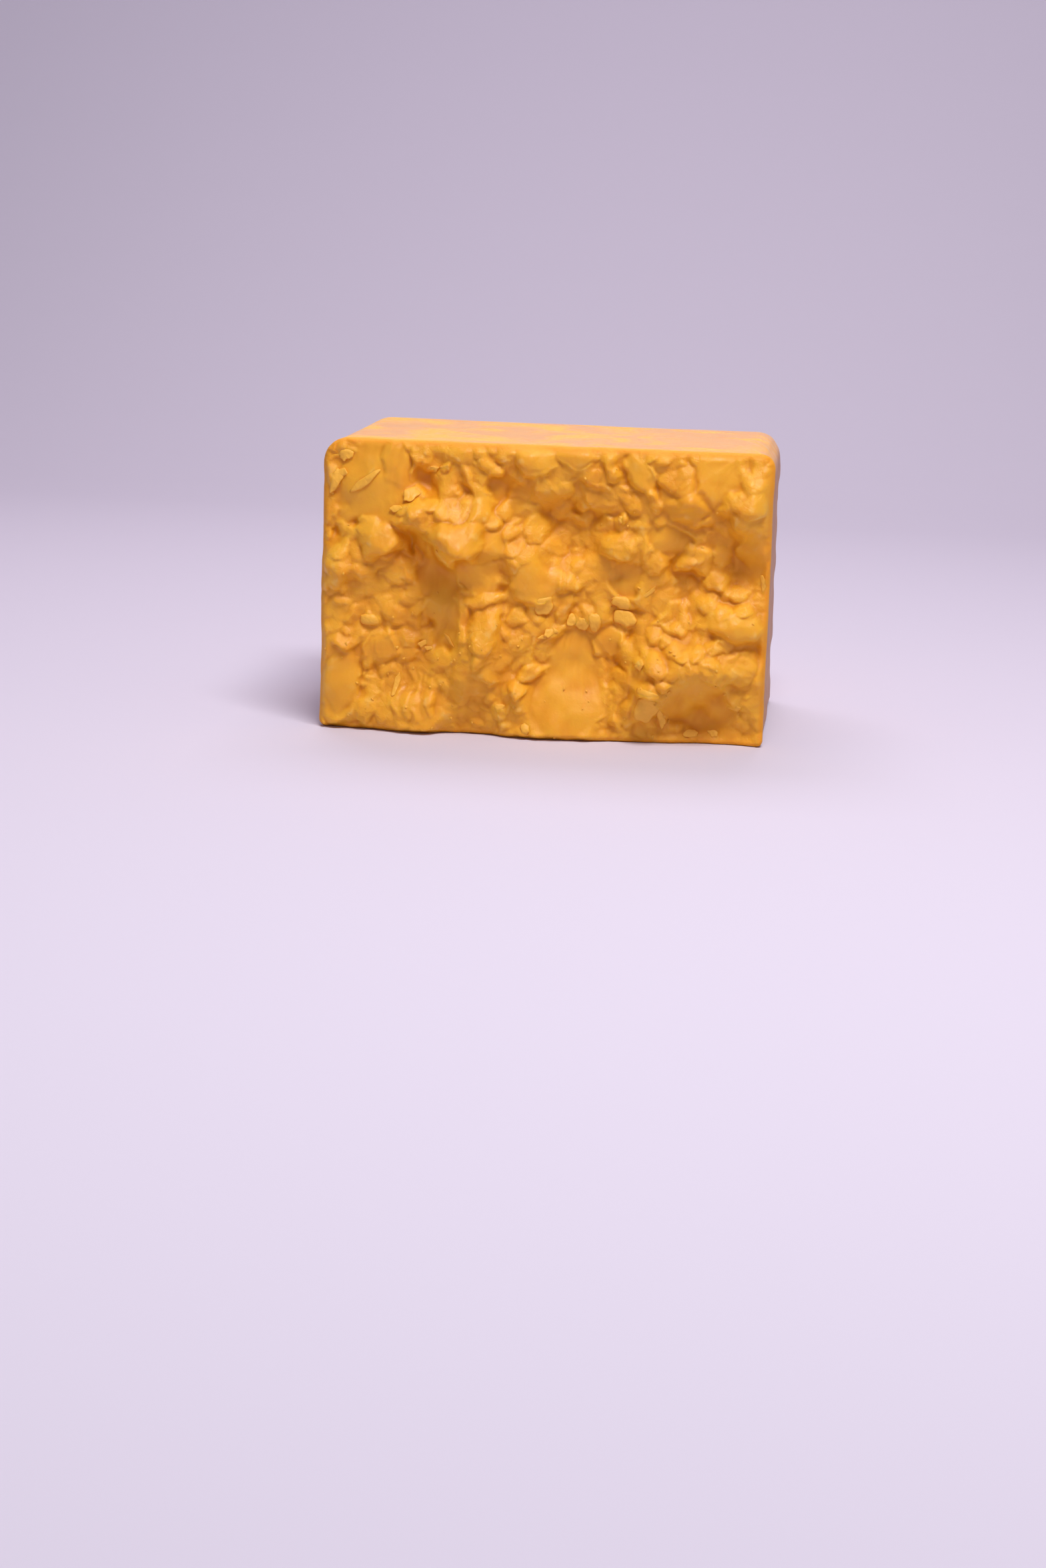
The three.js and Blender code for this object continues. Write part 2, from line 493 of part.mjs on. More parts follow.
function buildBlock() {
  const columns = gridLines(-width / 2, width / 2, cellsAcross);
  const rows = gridLines(0, height, cellsUp);
  const points = [];
  const faces = [];

  // The broken face, row by row from the foot up, each cell split along its flatter diagonal
  rows.forEach((up) => {
    columns.forEach((across) => {
      const [x, z] = roundCorners(across, up, 0, 0);
      points.push(x, -frontOf(across, up), z);
    });
  });
  const frontAt = (point) => points[3 * point + 1];
  for (let row = 0; row < cellsUp; row += 1) {
    for (let column = 0; column < cellsAcross; column += 1) {
      const corner = row * (cellsAcross + 1) + column;
      const above = corner + cellsAcross + 1;
      const rising = Math.abs(frontAt(corner) - frontAt(above + 1));
      const falling = Math.abs(frontAt(corner + 1) - frontAt(above));
      if (rising < falling) {
        faces.push(corner, corner + 1, above + 1, corner, above + 1, above);
      } else {
        faces.push(corner, corner + 1, above, corner + 1, above + 1, above);
      }
    }
  }

  // The rim of the broken face, once round, anticlockwise from its bottom left corner
  const rim = [];
  for (let column = 0; column < cellsAcross; column += 1) {
    rim.push([column, 0]);
  }
  for (let row = 0; row < cellsUp; row += 1) {
    rim.push([cellsAcross, row]);
  }
  for (let column = cellsAcross; column > 0; column -= 1) {
    rim.push([column, cellsUp]);
  }
  for (let row = cellsUp; row > 0; row -= 1) {
    rim.push([0, row]);
  }

  // Rings of skin from the rim to the back, the last few turning in round the back edge
  const rings = [{ behind: skinRunIn, inset: 0 }, { behind: depth - backRadius, inset: 0 }];
  for (let ring = 1; ring <= backRings; ring += 1) {
    const angle = 0.5 * Math.PI * ring / backRings;
    rings.push({
      behind: depth - backRadius + backRadius * Math.sin(angle),
      inset: backRadius * (1 - Math.cos(angle)),
    });
  }
  let previous = rim.map(([column, row]) => row * (cellsAcross + 1) + column);
  for (const { behind, inset } of rings) {
    const current = rim.map(([column, row]) => {
      const across = columns[column] * (1 - 2 * inset / width);
      const up = inset + rows[row] * (1 - 2 * inset / height);
      const [x, z] = skinPoint(across, up, behind, inset);
      points.push(x, behind, z);
      return points.length / 3 - 1;
    });
    current.forEach((point, place) => {
      const next = (place + 1) % current.length;
      faces.push(previous[place], point, current[next], previous[place], current[next], previous[next]);
    });
    previous = current;
  }

  // The flat back is closed to its middle.
  const middle = points.length / 3;
  points.push(0, depth, height / 2);
  previous.forEach((point, place) => {
    faces.push(point, middle, previous[(place + 1) % previous.length]);
  });

  const geometry = new THREE.BufferGeometry();
  geometry.setAttribute('position', new THREE.Float32BufferAttribute(points, 3));
  geometry.setIndex(faces);
  geometry.computeVertexNormals();
  return geometry;
}

// The block is set with its middle over the origin and its foot on z = 0.
const block = buildBlock();
block.computeBoundingBox();
const middle = block.boundingBox.getCenter(new THREE.Vector3());
block.translate(-middle.x, -middle.y, -block.boundingBox.min.z);

const cheese = new THREE.MeshStandardMaterial({ color: 0xe09a3e, roughness: 0.45, metalness: 0 });
const cheddar = new THREE.Group();
const cheddarBlock = new THREE.Mesh(block, cheese);
cheddarBlock.name = 'cheddar_block';
cheddar.add(cheddarBlock);

export default cheddar;
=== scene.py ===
import math

import bpy
import numpy as np
from mathutils import Matrix, Vector


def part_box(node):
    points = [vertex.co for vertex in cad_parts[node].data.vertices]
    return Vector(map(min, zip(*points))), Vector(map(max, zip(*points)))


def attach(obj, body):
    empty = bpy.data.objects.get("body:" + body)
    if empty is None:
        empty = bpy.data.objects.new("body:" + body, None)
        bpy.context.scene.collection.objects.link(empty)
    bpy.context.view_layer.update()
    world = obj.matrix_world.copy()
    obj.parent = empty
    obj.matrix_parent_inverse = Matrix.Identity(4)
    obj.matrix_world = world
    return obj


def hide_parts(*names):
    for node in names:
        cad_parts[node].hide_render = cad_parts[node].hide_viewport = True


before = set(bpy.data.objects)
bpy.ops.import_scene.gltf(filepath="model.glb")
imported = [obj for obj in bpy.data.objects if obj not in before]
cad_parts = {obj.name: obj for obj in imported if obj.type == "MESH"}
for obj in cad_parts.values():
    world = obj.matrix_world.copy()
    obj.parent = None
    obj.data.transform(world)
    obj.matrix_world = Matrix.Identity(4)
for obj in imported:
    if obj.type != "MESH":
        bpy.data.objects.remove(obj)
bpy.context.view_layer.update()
cadLow, cadHigh = [Vector(corner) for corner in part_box("cheddar_block")]
mm = 0.001

# The block is half of a 2.5 kg block, broken across. Its broken face looks along -Y.
# Sizes are in millimetres and lie in the CAD solid's box.
block = {
    "width": 140,
    "height": 91,
    "depth": 89,
    "topLeftRadius": 8,
    "topRightRadius": 4.5,
    "footRadius": 2.2,
    "skinRadius": 8.5,
    "backRadius": 8,
    "skinRunIn": 14,       # how far behind the break the top corners reach their full rounding
    "rimRadius": 2.0,
    "leftRimRadius": 3.2,
    "fadeWidth": 2.6,      # the crags die away over this distance from the rim
    "rimUnevenness": 0.35,
    "faceStep": 0.40,      # mesh spacing on the broken face
    "skinRings": 8,
    "backRings": 5,
    "skinWave": 0.35,
    "wornEdge": 0.35,      # how far the outline of the break strays inward at the sides
    "pouchDip": 0.8,       # the pouch has pressed the sides in unevenly
    "droop": 0.30,         # how far the crags lean down over what is below them
}
rimPlace = cadHigh.y / mm - block["depth"]

# Broad swells and hollows of the break: across, up, half width, half height, turn, rise
swells = [
    (-37, 79, 4, 6, -15, -1.6), (-12, 77, 6, 4.5, -10, -1.3), (-3, 59, 4.5, 5, 0, 1.2),
    (8, 63, 15, 12.5, 0, -4.2), (-41, 59, 4, 8, 10, -2.6), (-32, 54.5, 7, 8, 0, -2.5),
    (-31, 31, 6, 7, 0, -1.6), (-13, 50, 3, 8, 0, -0.8), (20, 45, 9, 6, 0, -0.5),
    (61, 57, 9, 12, 10, -3), (44, 53, 9, 13, -10, -2.6), (-25, 1, 11, 8, 0, -1.6),
    (51, 7, 15, 8.5, 0, -2.9), (-66, 68, 4, 9, 0, -1), (66, 30, 5, 4, -35, -1.4),
    (-27, 61, 13, 9, 0, 5.2), (-51, 59, 7, 7, 0, 1.8), (-19, 25, 10, 14, 0, 3.5),
    (6, -5, 15, 24, 0, 3.2), (14, 27, 14, 18, 0, -2), (42, 22, 13, 9, -8, 3.8), (58, 20, 6, 6, 0, 0.8),
    (45, 76, 10, 7, 0, 2), (63, 73, 7, 10, 0, 3), (56, 38, 9, 6, 0, 0.6),
    (-5, 53, 8, 10, 0, 2.3), (-62, 20, 8, 12, 0, 1.2), (-36, 4, 10, 9, 0, 2.3),
    (60, 37, 10, 5, -15, 2), (-54, 74, 11, 10, 0, 1), (-4, 86, 8, 5, 0, 1.4),
    (-61, 51.5, 8, 5.5, 0, 1.8), (-41, 67, 7, 5, 0, 2.2),
    (-25, 59, 11, 7, 0, 1), (47, 25, 13, 7, 0, 1.6), (24, 26, 4.5, 6, 0, -1), (35, 13, 7, 6, 0, 2.6),
    (-5, 14, 5, 6, 0, 1.6), (-24, 81, 11, 6, 0, 1), (-33, 69, 9, 6, 0, 1.1), (-24, 31, 10, 9, 0, 1.1),
    (-35, -4, 40, 8, 0, 1.2), (4, 71, 12, 6.5, 0, -1.1), (-50, 29, 6, 5, 0, 0.9), (-8, -3, 9, 9, 0, 1.4),
    (-38, 5, 18, 8, 0, 1.4), (24, 51, 6, 4, 0, -0.7), (-43, 68, 5, 4, 0, 1), (-65, 51, 6, 8, 0, 0.8),
    (-65, 22, 5, 8, 0, 0.7), (-31, 48, 6, 7, 0, 0.7), (31.5, 14.5, 5, 4, 0, 0.9), (-40, 72, 6, 3.5, 0, 0.7),
    (27, 38, 13, 9, 0, -0.9), (33, 19.5, 5, 4, 0, 0.7),
]

# Torn facets: across, up, half width, half height, turn, rise, lean across, lean up, sides, wall
crags = [
    (-56, 76, 10.5, 12.5, 10, 0.3, 0.03, -0.02, 9, 0.3), (-46.5, 83, 4.4, 6.8, 6, 1, -0.06, 0.02, 6, 0.9),
    (-39, 87, 3.6, 3.2, -30, 0.9, 0.05, -0.05, 5, 1), (-4, 87, 7.6, 4.4, -6, 1.6, 0.03, -0.10, 6, 1.3),
    (9, 88.5, 6, 2.8, 0, 1.4, -0.02, 0, 6, 1.3), (28.8, 85.2, 3.8, 7.6, 32, 1.5, 0.02, -0.05, 6, 1.3),
    (38, 88, 5, 3, 0, 0.8, 0, -0.05, 5, 0.8), (52.5, 83, 8, 10, -16, 0.9, -0.02, -0.02, 5, 1),
    (-15, 61, 5.4, 5.6, 15, 0.5, 0.08, -0.10, 6, 0.6), (-20, 50, 6.6, 6.6, 0, 0.9, 0.05, -0.14, 6, 0.6),
    (-3, 50, 7.4, 7.6, 30, 1.2, 0.04, -0.10, 5, 0.9), (37, 63, 7, 4.6, -15, 0.5, -0.02, -0.02, 6, 0.7),
    (33.5, 57, 4.2, 4.2, 10, 0.9, 0.05, -0.15, 5, 1), (46, 57, 4.8, 4.4, -22, 2.4, -0.05, -0.10, 4, 1.5),
    (64.5, 59, 4.6, 8.4, -10, 0.4, -0.04, 0.14, 6, 0.7), (-62.5, 15, 6, 10.5, 0, 1.3, 0.03, -0.04, 6, 1.2),
    (-50.5, 26, 5.6, 4.6, 20, 1, 0.05, -0.08, 4, 0.7), (19.5, 31, 5.6, 4.8, -35, 0.8, 0.02, -0.05, 5, 0.9),
    (59, 38, 9.4, 4.4, -18, 1.2, -0.02, 0.05, 6, 1), (40, 40, 5, 3.4, 20, 1.6, 0.02, -0.25, 5, 1.1),
    (14, 55, 7, 5, 0, 0.4, 0, -0.05, 6, 0.7), (-6, 28, 4, 4.6, 0, 0.5, 0.05, 0, 5, 0.9),
]

# Rounded lumps: across, up, half width, half height, turn, base, rise, lean across, lean up, sides
lumps = [
    (-27.3, 62.4, 8.6, 6.2, 4, 0.9, 3.6, -0.01, -0.10, 11), (-29.2, 59.2, 5, 5, 0, 1, 3, 0, -0.08, 9),
    (-23, 65.5, 4.6, 3.8, 0, 1.5, 2.6, 0, -0.08, 9),
    (-51.5, 60.5, 5.8, 6.4, 12, 0.2, 2.6, -0.04, -0.22, 7), (-54.5, 64, 3.4, 3.6, 0, 0.2, 1.9, -0.1, 0, 6),
    (-45.5, 70.3, 2.6, 1.6, 8, 0.5, 1.2, 0, -0.2, 6), (-40.2, 70.5, 3.4, 2.7, -10, 0.8, 1.4, 0, -0.2, 8),
    (-35.8, 71.8, 3, 2.6, 0, 0.9, 1.4, 0, -0.2, 8), (-31.4, 71.4, 3.2, 3.4, 0, 1, 1.5, 0, -0.2, 8),
    (-26.2, 71, 3.6, 3, 0, 1, 1.5, 0, -0.2, 8), (-20.3, 71.5, 4.2, 4, 0, 1, 2, -0.03, -0.12, 9),
    (-16.2, 69.5, 3.2, 3.2, 0, 0.6, 1.5, 0.08, -0.1, 8), (-31, 79, 4.2, 5.6, 8, 0.2, 1.5, -0.05, -0.25, 7),
    (-35, 82.5, 1.6, 1, 0, 0.6, 0.9, 0, 0, 5), (-31, 83.3, 1.5, 1.1, 20, 0.8, 0.9, 0, 0, 5),
    (-23.8, 79, 1.7, 5.4, 26, 0.5, 1.6, 0.05, 0, 7), (-20.3, 76.5, 1.8, 3.4, 40, 0.5, 1.4, 0, 0, 6),
    (-20.6, 87.2, 2.2, 1.5, -30, 0.6, 1.3, 0, 0, 6), (-18.2, 84.8, 1.7, 3, 30, 0.6, 1.6, 0, 0, 7),
    (-15.5, 82, 1.7, 2.4, 22, 0.7, 1.7, 0, 0, 7), (-12.5, 87.6, 2.2, 3, 32, 0.2, 1.3, 0, 0, 6),
    (-27.3, 87.2, 2.8, 3.2, 0, 0, 1.2, 0, 0, 5), (-8, 76.5, 3.8, 2.6, 20, -0.4, 1.1, 0, 0, 6),
    (0, 77.5, 3.8, 4.6, 10, 0.2, 2, 0, 0.05, 7), (-12, 72, 3, 2.8, 0, 0.4, 1.6, 0, -0.1, 6),
    (-10, 65.5, 2.6, 2.4, 0, 0.4, 1.4, 0, -0.1, 6), (-3, 65.5, 3.4, 4.4, 5, 0.6, 1.9, 0, -0.12, 6),
    (-8.6, 60, 2, 3.2, -25, 0.5, 1.3, -0.1, 0, 6), (-9.5, 54.5, 1.7, 3.4, 10, 0.3, 1.3, 0, 0, 6),
    (3, 61.5, 4.2, 3.6, -10, 0.5, 1.4, 0, -0.1, 6), (-63.5, 56.5, 3.8, 3.4, 0, -0.1, 1.7, 0.05, -0.1, 6),
    (-65, 49, 4.2, 4.4, 0, -0.2, 1.8, 0.05, -0.05, 7), (-57, 56, 3, 3.6, 20, -0.3, 1.5, 0, -0.05, 6),
    (-54.5, 49.5, 3.2, 3.2, 0, -0.3, 1.4, 0, -0.1, 6), (-63, 63, 2.6, 3.2, 30, -0.2, 1.3, 0, 0, 6),
    (-41, 55, 1.7, 3, 0, -0.1, 1.3, 0, 0, 6), (-45.5, 50, 3, 2.6, 20, -0.2, 1.2, 0, -0.1, 6),
    (-65.3, 80, 2.4, 2.6, 30, 0.3, 1.4, 0, -0.1, 5), (-65.7, 76.5, 1.8, 2.4, 20, 0.3, 1.4, 0, 0, 5),
    (20, 84.8, 2.2, 4.8, 20, 0.5, 1.9, 0, 0, 8),
    (12, 82.5, 3, 2.4, -10, 0.2, 1.4, 0, -0.1, 5), (17, 79.5, 4, 1.3, -22, 0.4, 1.2, 0, 0.1, 6),
    (6, 79, 3.2, 2.8, 10, -0.2, 1.5, 0, 0, 6), (26.5, 74.5, 3.8, 3.8, 0, 0, 1.9, 0, -0.05, 8),
    (17.5, 73, 3.4, 3.2, 0, -0.2, 1.5, 0, 0, 6), (10.5, 67.5, 3.6, 3.4, 0, -0.1, 1.6, 0, 0, 7),
    (3.5, 70.5, 2.8, 2.6, 0, 0, 1.5, 0, 0, 6), (18, 67, 3, 2.8, 0, 0, 1.5, 0, -0.05, 6),
    (23.8, 69.3, 1.2, 1.3, 0, 0.9, 1.5, 0, 0, 7), (34.5, 74.5, 1.9, 3, 10, 0.2, 1.4, 0, 0, 6),
    (29.5, 67.5, 2.8, 4, 0, 0.1, 1.5, 0, 0, 6), (39.5, 83, 4.4, 3.4, 10, 0.4, 1.7, 0, -0.2, 6),
    (43, 80, 2.8, 2.6, 0, 0.4, 1.4, 0, -0.1, 6), (43, 73, 8.2, 5.2, -10, -0.2, 2.6, 0.02, -0.02, 7),
    (48, 69, 4, 1.8, 8, 0.8, 1.5, 0, -0.2, 6), (64, 83.2, 4.8, 4.2, -10, 0.3, 1.8, 0, -0.25, 7),
    (60.6, 78, 3.2, 3.4, 0, 0.3, 1.7, -0.05, -0.15, 7), (64.5, 77, 4, 4.8, 0, 0.4, 1.9, 0, -0.25, 7),
    (61, 71, 3.8, 3.2, 0, 0.1, 1.6, 0, 0, 6), (66, 86, 3, 3, 0, 0.1, 1.4, 0, -0.1, 6),
    (22.5, 60.5, 5.4, 3.2, 4, 1.4, 2.4, 0, 0.1, 7), (54.5, 59, 3.2, 2.8, 0, 0, 1.5, 0, 0, 5),
    (53.5, 51.8, 4.8, 2.4, 26, 0.8, 1.6, 0, -0.2, 6), (60.5, 48.5, 3.6, 2.8, 0, 0.3, 1.7, 0, -0.2, 6),
    (8.5, 50, 2.8, 2.8, 0, 0.6, 1.7, 0, -0.1, 7), (10, 54.5, 2.4, 2.2, 0, 0.4, 1.4, 0, -0.1, 6),
    (-18, 43, 6.4, 2, 6, 1, 1.8, 0, -0.15, 7), (-17.6, 34, 3.6, 6.4, -6, 0.4, 2.6, -0.05, -0.18, 8),
    (-18.6, 26.5, 2, 3.4, -12, 0.4, 1.5, 0, 0, 6), (-7.5, 38, 2.8, 3.4, 0, 0.2, 1.9, 0, -0.03, 8),
    (-10.5, 33, 2, 2.2, 0, 0.2, 1.3, 0, 0, 7), (-3, 37.5, 2.4, 3.2, 10, 0.3, 1.4, 0, 0, 6),
    (-8, 30.5, 2.2, 2.2, 0, 0.1, 1.2, 0, 0, 7), (-2.5, 22, 3.6, 3, 35, 0.8, 2, 0, -0.1, 6),
    (-5.7, 16.3, 2.5, 2.4, 0, 0.9, 2.4, 0, -0.05, 7), (-23.5, 16, 3.8, 5.4, 0, 0.1, 1.8, 0, -0.05, 6),
    (-12, 8, 3.2, 3.6, 0, 0.1, 1.6, 0, 0, 6), (-53.3, 7.3, 3.4, 4.6, 0, 0.2, 2.1, 0, -0.08, 7),
    (-62.5, 28, 4.6, 2.2, 0, 0.6, 1.7, 0, -0.2, 6), (-42, 28.5, 3.2, 3.4, 0, 0.3, 1.6, 0, -0.1, 6),
    (-41, 23.5, 2.8, 2.8, 0, 0.2, 1.4, 0, -0.05, 6), (-42, 41, 2.8, 2.4, 0, 0.2, 1.4, 0, -0.1, 6),
    (-38.8, 38.8, 2.4, 2.2, 0, 0.2, 1.4, 0, -0.1, 6), (-44, 36, 2.6, 3, 0, 0.2, 1.4, 0, -0.1, 6),
    (5.3, 39, 1.8, 3.9, -30, 0.7, 1.5, 0, 0, 7), (9.8, 37.8, 1.8, 1.8, 0, 0.7, 1.1, 0, 0, 6),
    (13, 37.5, 2.2, 3.2, 15, 0.6, 1.2, 0, 0.15, 6), (17, 38.3, 2, 4.2, 4, 0.5, 1.3, 0, 0.15, 6),
    (34.5, 34.8, 3, 3, 20, 0.7, 1.9, 0, -0.25, 7), (38.6, 33.2, 2.4, 2.4, 0, 0.7, 1.5, 0, -0.25, 7),
    (43.4, 31, 3.8, 3.4, 0, 0.7, 1.9, 0, -0.25, 7), (48.3, 30, 3.2, 2.9, 0, 0.7, 1.6, 0, -0.2, 7),
    (55, 31.4, 4.2, 2.8, 20, 1, 1.9, 0, -0.2, 7), (52.5, 26, 4.6, 1.9, -42, 0.9, 1.5, 0, 0, 6),
    (60.5, 25, 6.2, 6.2, -30, 0.2, 2.7, 0.03, 0, 6), (55, 22, 3.8, 1.6, -38, 0.9, 1.3, 0, 0, 6),
    (35.8, 26, 2.5, 4.8, 24, 0.8, 2, 0, -0.05, 6), (31, 25.2, 1.8, 1.7, 0, 0.8, 1.4, 0, 0, 6),
    (31.5, 29.5, 2, 2.2, 0, 0.5, 1.3, 0, 0, 6), (33.4, 17.6, 4, 2.6, -12, 0.9, 1.8, 0, -0.3, 8),
    (38, 20, 2.4, 1.7, 10, 0.8, 1.2, 0, 0, 6), (56, 42.5, 3.6, 1.9, -10, 0.9, 1.4, 0, -0.1, 6),
    (50, 43.5, 3, 1.9, 15, 0.7, 1.3, 0, -0.1, 6), (63, 43.5, 3, 2.2, 0, 0.7, 1.5, 0, -0.1, 6),
    (67.5, 8, 2.4, 3.4, 0, -0.2, 1.5, 0, 0, 6), (66.8, 20, 2.6, 3.2, 0, 0, 1.3, 0, 0, 6),
    (24, 14.5, 1.9, 2.8, 10, 0.2, 1.4, 0, 0, 6), (27.5, 11, 1.6, 3, -8, 0.1, 1.2, 0, 0, 6),
    (23.5, 7, 1.8, 3, 0, 0.2, 1.3, 0, 0, 6), (-33.5, 12, 1.8, 5.6, 0, 0, 1.2, 0, 0, 6),
    (-41.5, 9, 1.6, 5, 4, 0, 1, 0, 0, 6), (-53.8, 35, 3.4, 2, -10, 0.5, 1.4, 0, -0.1, 6),
]

# Low leaves that are still part of the ground, with a sharp edge, given as the facets are
leaves = [
    (-63, 86.2, 3.6, 1.7, 18, 0.3, 0, 0.08, 4, 1.7), (-56, 78.6, 5, 1.1, 36, 0.4, -0.05, 0.10, 6, 2),
    (-41.6, 75.3, 2.6, 1.8, 14, 1.2, 0, -0.05, 5, 1.8), (-50.8, 25.4, 4, 4.2, 8, 0.7, 0, 0.02, 3, 1.3),
    (24.6, 43.4, 3, 2.2, -18, 1, 0.05, -0.10, 5, 1.7), (26.2, 38.6, 4, 2.8, -12, 0.7, -0.02, -0.12, 5, 1.4),
    (2.4, 32.4, 2.6, 1.8, 20, 0.8, 0.05, 0, 5, 1.7), (34, 11.2, 4.4, 4, -25, 1.1, 0.10, -0.02, 5, 1.7),
    (38.6, 8.2, 1.2, 2.4, 22, 0.7, 0.10, 0, 4, 1.7), (0.5, 41.5, 3, 2.6, 30, 0.5, 0.03, -0.05, 4, 1.4),
    (-42.5, 14.5, 0.9, 4, 12, 0.2, 0, 0, 4, 1.6), (33, 47, 0.9, 3, -28, 0.4, 0, 0, 4, 1.6),
]

# Deep little gaps between curds: across, up, half width, half height, turn, depth
gaps = [
    (-65.5, 62.4, 1.6, 1.3, 20, 0.9), (-57.6, 64.6, 1.8, 1.2, -30, 2), (8.5, 71.7, 1.5, 0.9, -35, 2),
    (-35.8, 33.6, 1.7, 1.7, 0, 2.2), (24.5, 22.4, 2.6, 1.3, -20, 2.4), (26.5, 33.8, 1, 1.8, -20, 1.6),
    (-12.8, 37, 1, 1.2, 0, 1.6), (40.5, 21.5, 2.2, 0.9, -30, 1.4), (-42, 57, 0.8, 2.6, 0, 1.2),
    (-48, 55.2, 3, 0.6, 10, 1), (35.2, 79.5, 0.9, 2, 10, 1.4), (-4, 82.2, 3, 0.8, 10, 1),
]

# Narrow grooves and cracks: across and up of both ends, half width, depth
grooves = [
    (-30.6, 90, -30.2, 85, 0.4, 0.3), (-51.4, 89, -50.6, 80, 0.5, 0.2), (-42.8, 88, -41.6, 77, 0.6, 0.5),
    (-34, 67.6, -27, 67.4, 0.9, 0.25), (-56.5, 57, -50, 54.4, 0.8, 0.5), (-50, 54.4, -44, 56.2, 0.8, 0.5),
    (-60, 65.2, -56.5, 60, 0.5, 0.3), (-57, 27, -54.8, 14, 1, 0.6), (-55, 14, -57.4, 6, 0.8, 0.5),
    (-66, 29.6, -60, 29.8, 0.5, 0.3), (-68, 12, -65.5, 8, 0.5, 0.2), (-51.5, 21, -49.8, 15, 1, 0.6),
    (7, 35, 1, 26, 0.6, 0.3), (1, 26, -0.5, 12, 0.6, 0.3), (14, 33.5, 18.6, 26, 0.8, 0.4),
    (18.6, 26, 21, 20.5, 1, 0.6), (21, 20.5, 20, 9, 0.6, 0.3), (53, 72, 63, 57, 1, 0.5),
    (44, 88, 47, 78, 0.8, 0.9), (47, 78, 53, 73, 0.8, 0.9), (53, 73, 60, 83, 0.8, 0.4),
    (29.6, 63, 29.4, 52, 0.6, 0.4), (50, 36, 60, 29.8, 0.8, 0.5), (60, 29.8, 66, 26, 0.8, 0.5),
    (-13.2, 58, -12.6, 45, 1.1, 0.5), (-27, 54, -24.5, 44, 0.8, 0.2), (5, 47, 12, 45, 0.6, 0.4),
    (-22.6, 41, -23, 28, 0.9, 0.5), (21.5, 88, 27.5, 79, 1.5, 1.3), (-37, 45, -38.5, 26, 0.8, 0.4),
    (40, 18, 45, 22, 0.8, 0.3),
]

# Torn areas where the curds hardly show: across, up, half width, half height, turn, strength
calmAreas = [
    (-55, 77.5, 11.5, 13.5, 10, 1), (-58, 68, 6.5, 4.5, 0, 0.8), (-46, 82, 4.5, 7.5, 4, 0.95),
    (-4, 87.3, 8.5, 4.4, -6, 0.9), (9, 88.5, 5.5, 3, 0, 0.9), (28.8, 85.2, 3.6, 7.4, 32, 0.95),
    (52.5, 82.5, 7.6, 10, -16, 1), (44, 73.5, 7, 5, -10, 0.85), (-15, 61, 5, 5.6, 15, 0.85),
    (-20, 50, 6.4, 6.4, 0, 0.95),
    (-33, 49, 7, 9, 0, 1), (-31, 36, 5, 10, 5, 0.9), (-3, 50, 7, 7, 30, 0.9),
    (38, 63, 7.5, 4.6, -15, 0.85), (24, 51, 5.5, 5.2, 0, 0.85), (65, 60, 4.5, 8.5, -10, 0.8),
    (-62.5, 15, 6.4, 10.5, 0, 1), (-51, 25.5, 4.6, 4.6, 20, 0.8), (19.5, 31, 5.4, 4.6, -35, 0.9),
    (59, 37, 10, 5, -18, 0.9), (61, 24, 6, 5.5, -30, 0.6), (50, 12, 11, 9, -15, 1),
    (-28, 61.5, 8, 6.6, 4, 1), (-22, 69.5, 8, 5.5, 0, 0.6), (-36, 71, 7, 3.5, 0, 0.5),
    (-50.5, 61, 5, 5.5, 10, 0.85), (-12, 78, 6, 4, -10, 0.85), (-38, 80, 3, 5, -10, 0.8),
    (-39, 11, 10, 9, 0, 0.6), (8, 14, 11.5, 14, 0, 1),
    (9, 28, 6, 7.5, 0, 1), (14, 55, 6, 4.5, 0, 0.6), (-40, 60, 3.4, 6, 10, 0.8),
]

# Places torn into fibres: across, up, half width, half height, direction of the fibres, depth
fibres = [
    (-39, 11, 9.5, 11, 86, 0.62), (-29, 34, 5, 10, 75, 0.22), (-20, 50, 6, 6, -55, 0.16),
    (26, 9, 6, 9, 82, 0.50), (50, 12, 10, 8, 125, 0.12), (61, 24, 6.5, 6, -35, 0.42),
    (-52, 22, 4, 8, 100, 0.42), (-12, 12, 6, 10, 80, 0.25), (-45, 82, 4, 7, 84, 0.14),
    (57, 38, 10, 5, -20, 0.14), (36, 55, 5, 6, 84, 0.20), (-6, 27, 5, 6, 70, 0.25),
]

# The smooth torn fan: its tip, the two ends of its foot and how far it stands out
fan = {"tipAcross": 10, "tipUp": 37, "footUp": 0, "footLeft": -3.5, "footRight": 21.0, "rise": 1.2}

# Four sizes of curd, one to each cell of a loose grid. The lean sets how differently they catch the light.
curdSizes = [
    {"spacing": 1.9, "half": 1.5, "base": 0.15, "spread": 0.25, "round": 0.22, "lean": 0.45,
     "zone": 0.7, "level": 4},
    {"spacing": 9.5, "half": 6.6, "base": -1.0, "spread": 0.8, "round": 0.20, "lean": 0.28,
     "zone": 0.0, "level": 3},
    {"spacing": 3.3, "half": 2.6, "base": 0.1, "spread": 0.45, "round": 0.24, "lean": 0.50,
     "zone": 0.9, "level": 1},
    {"spacing": 5.4, "half": 4.1, "base": -0.5, "spread": 0.5, "round": 0.22, "lean": 0.44,
     "zone": -0.5, "level": 2},
]

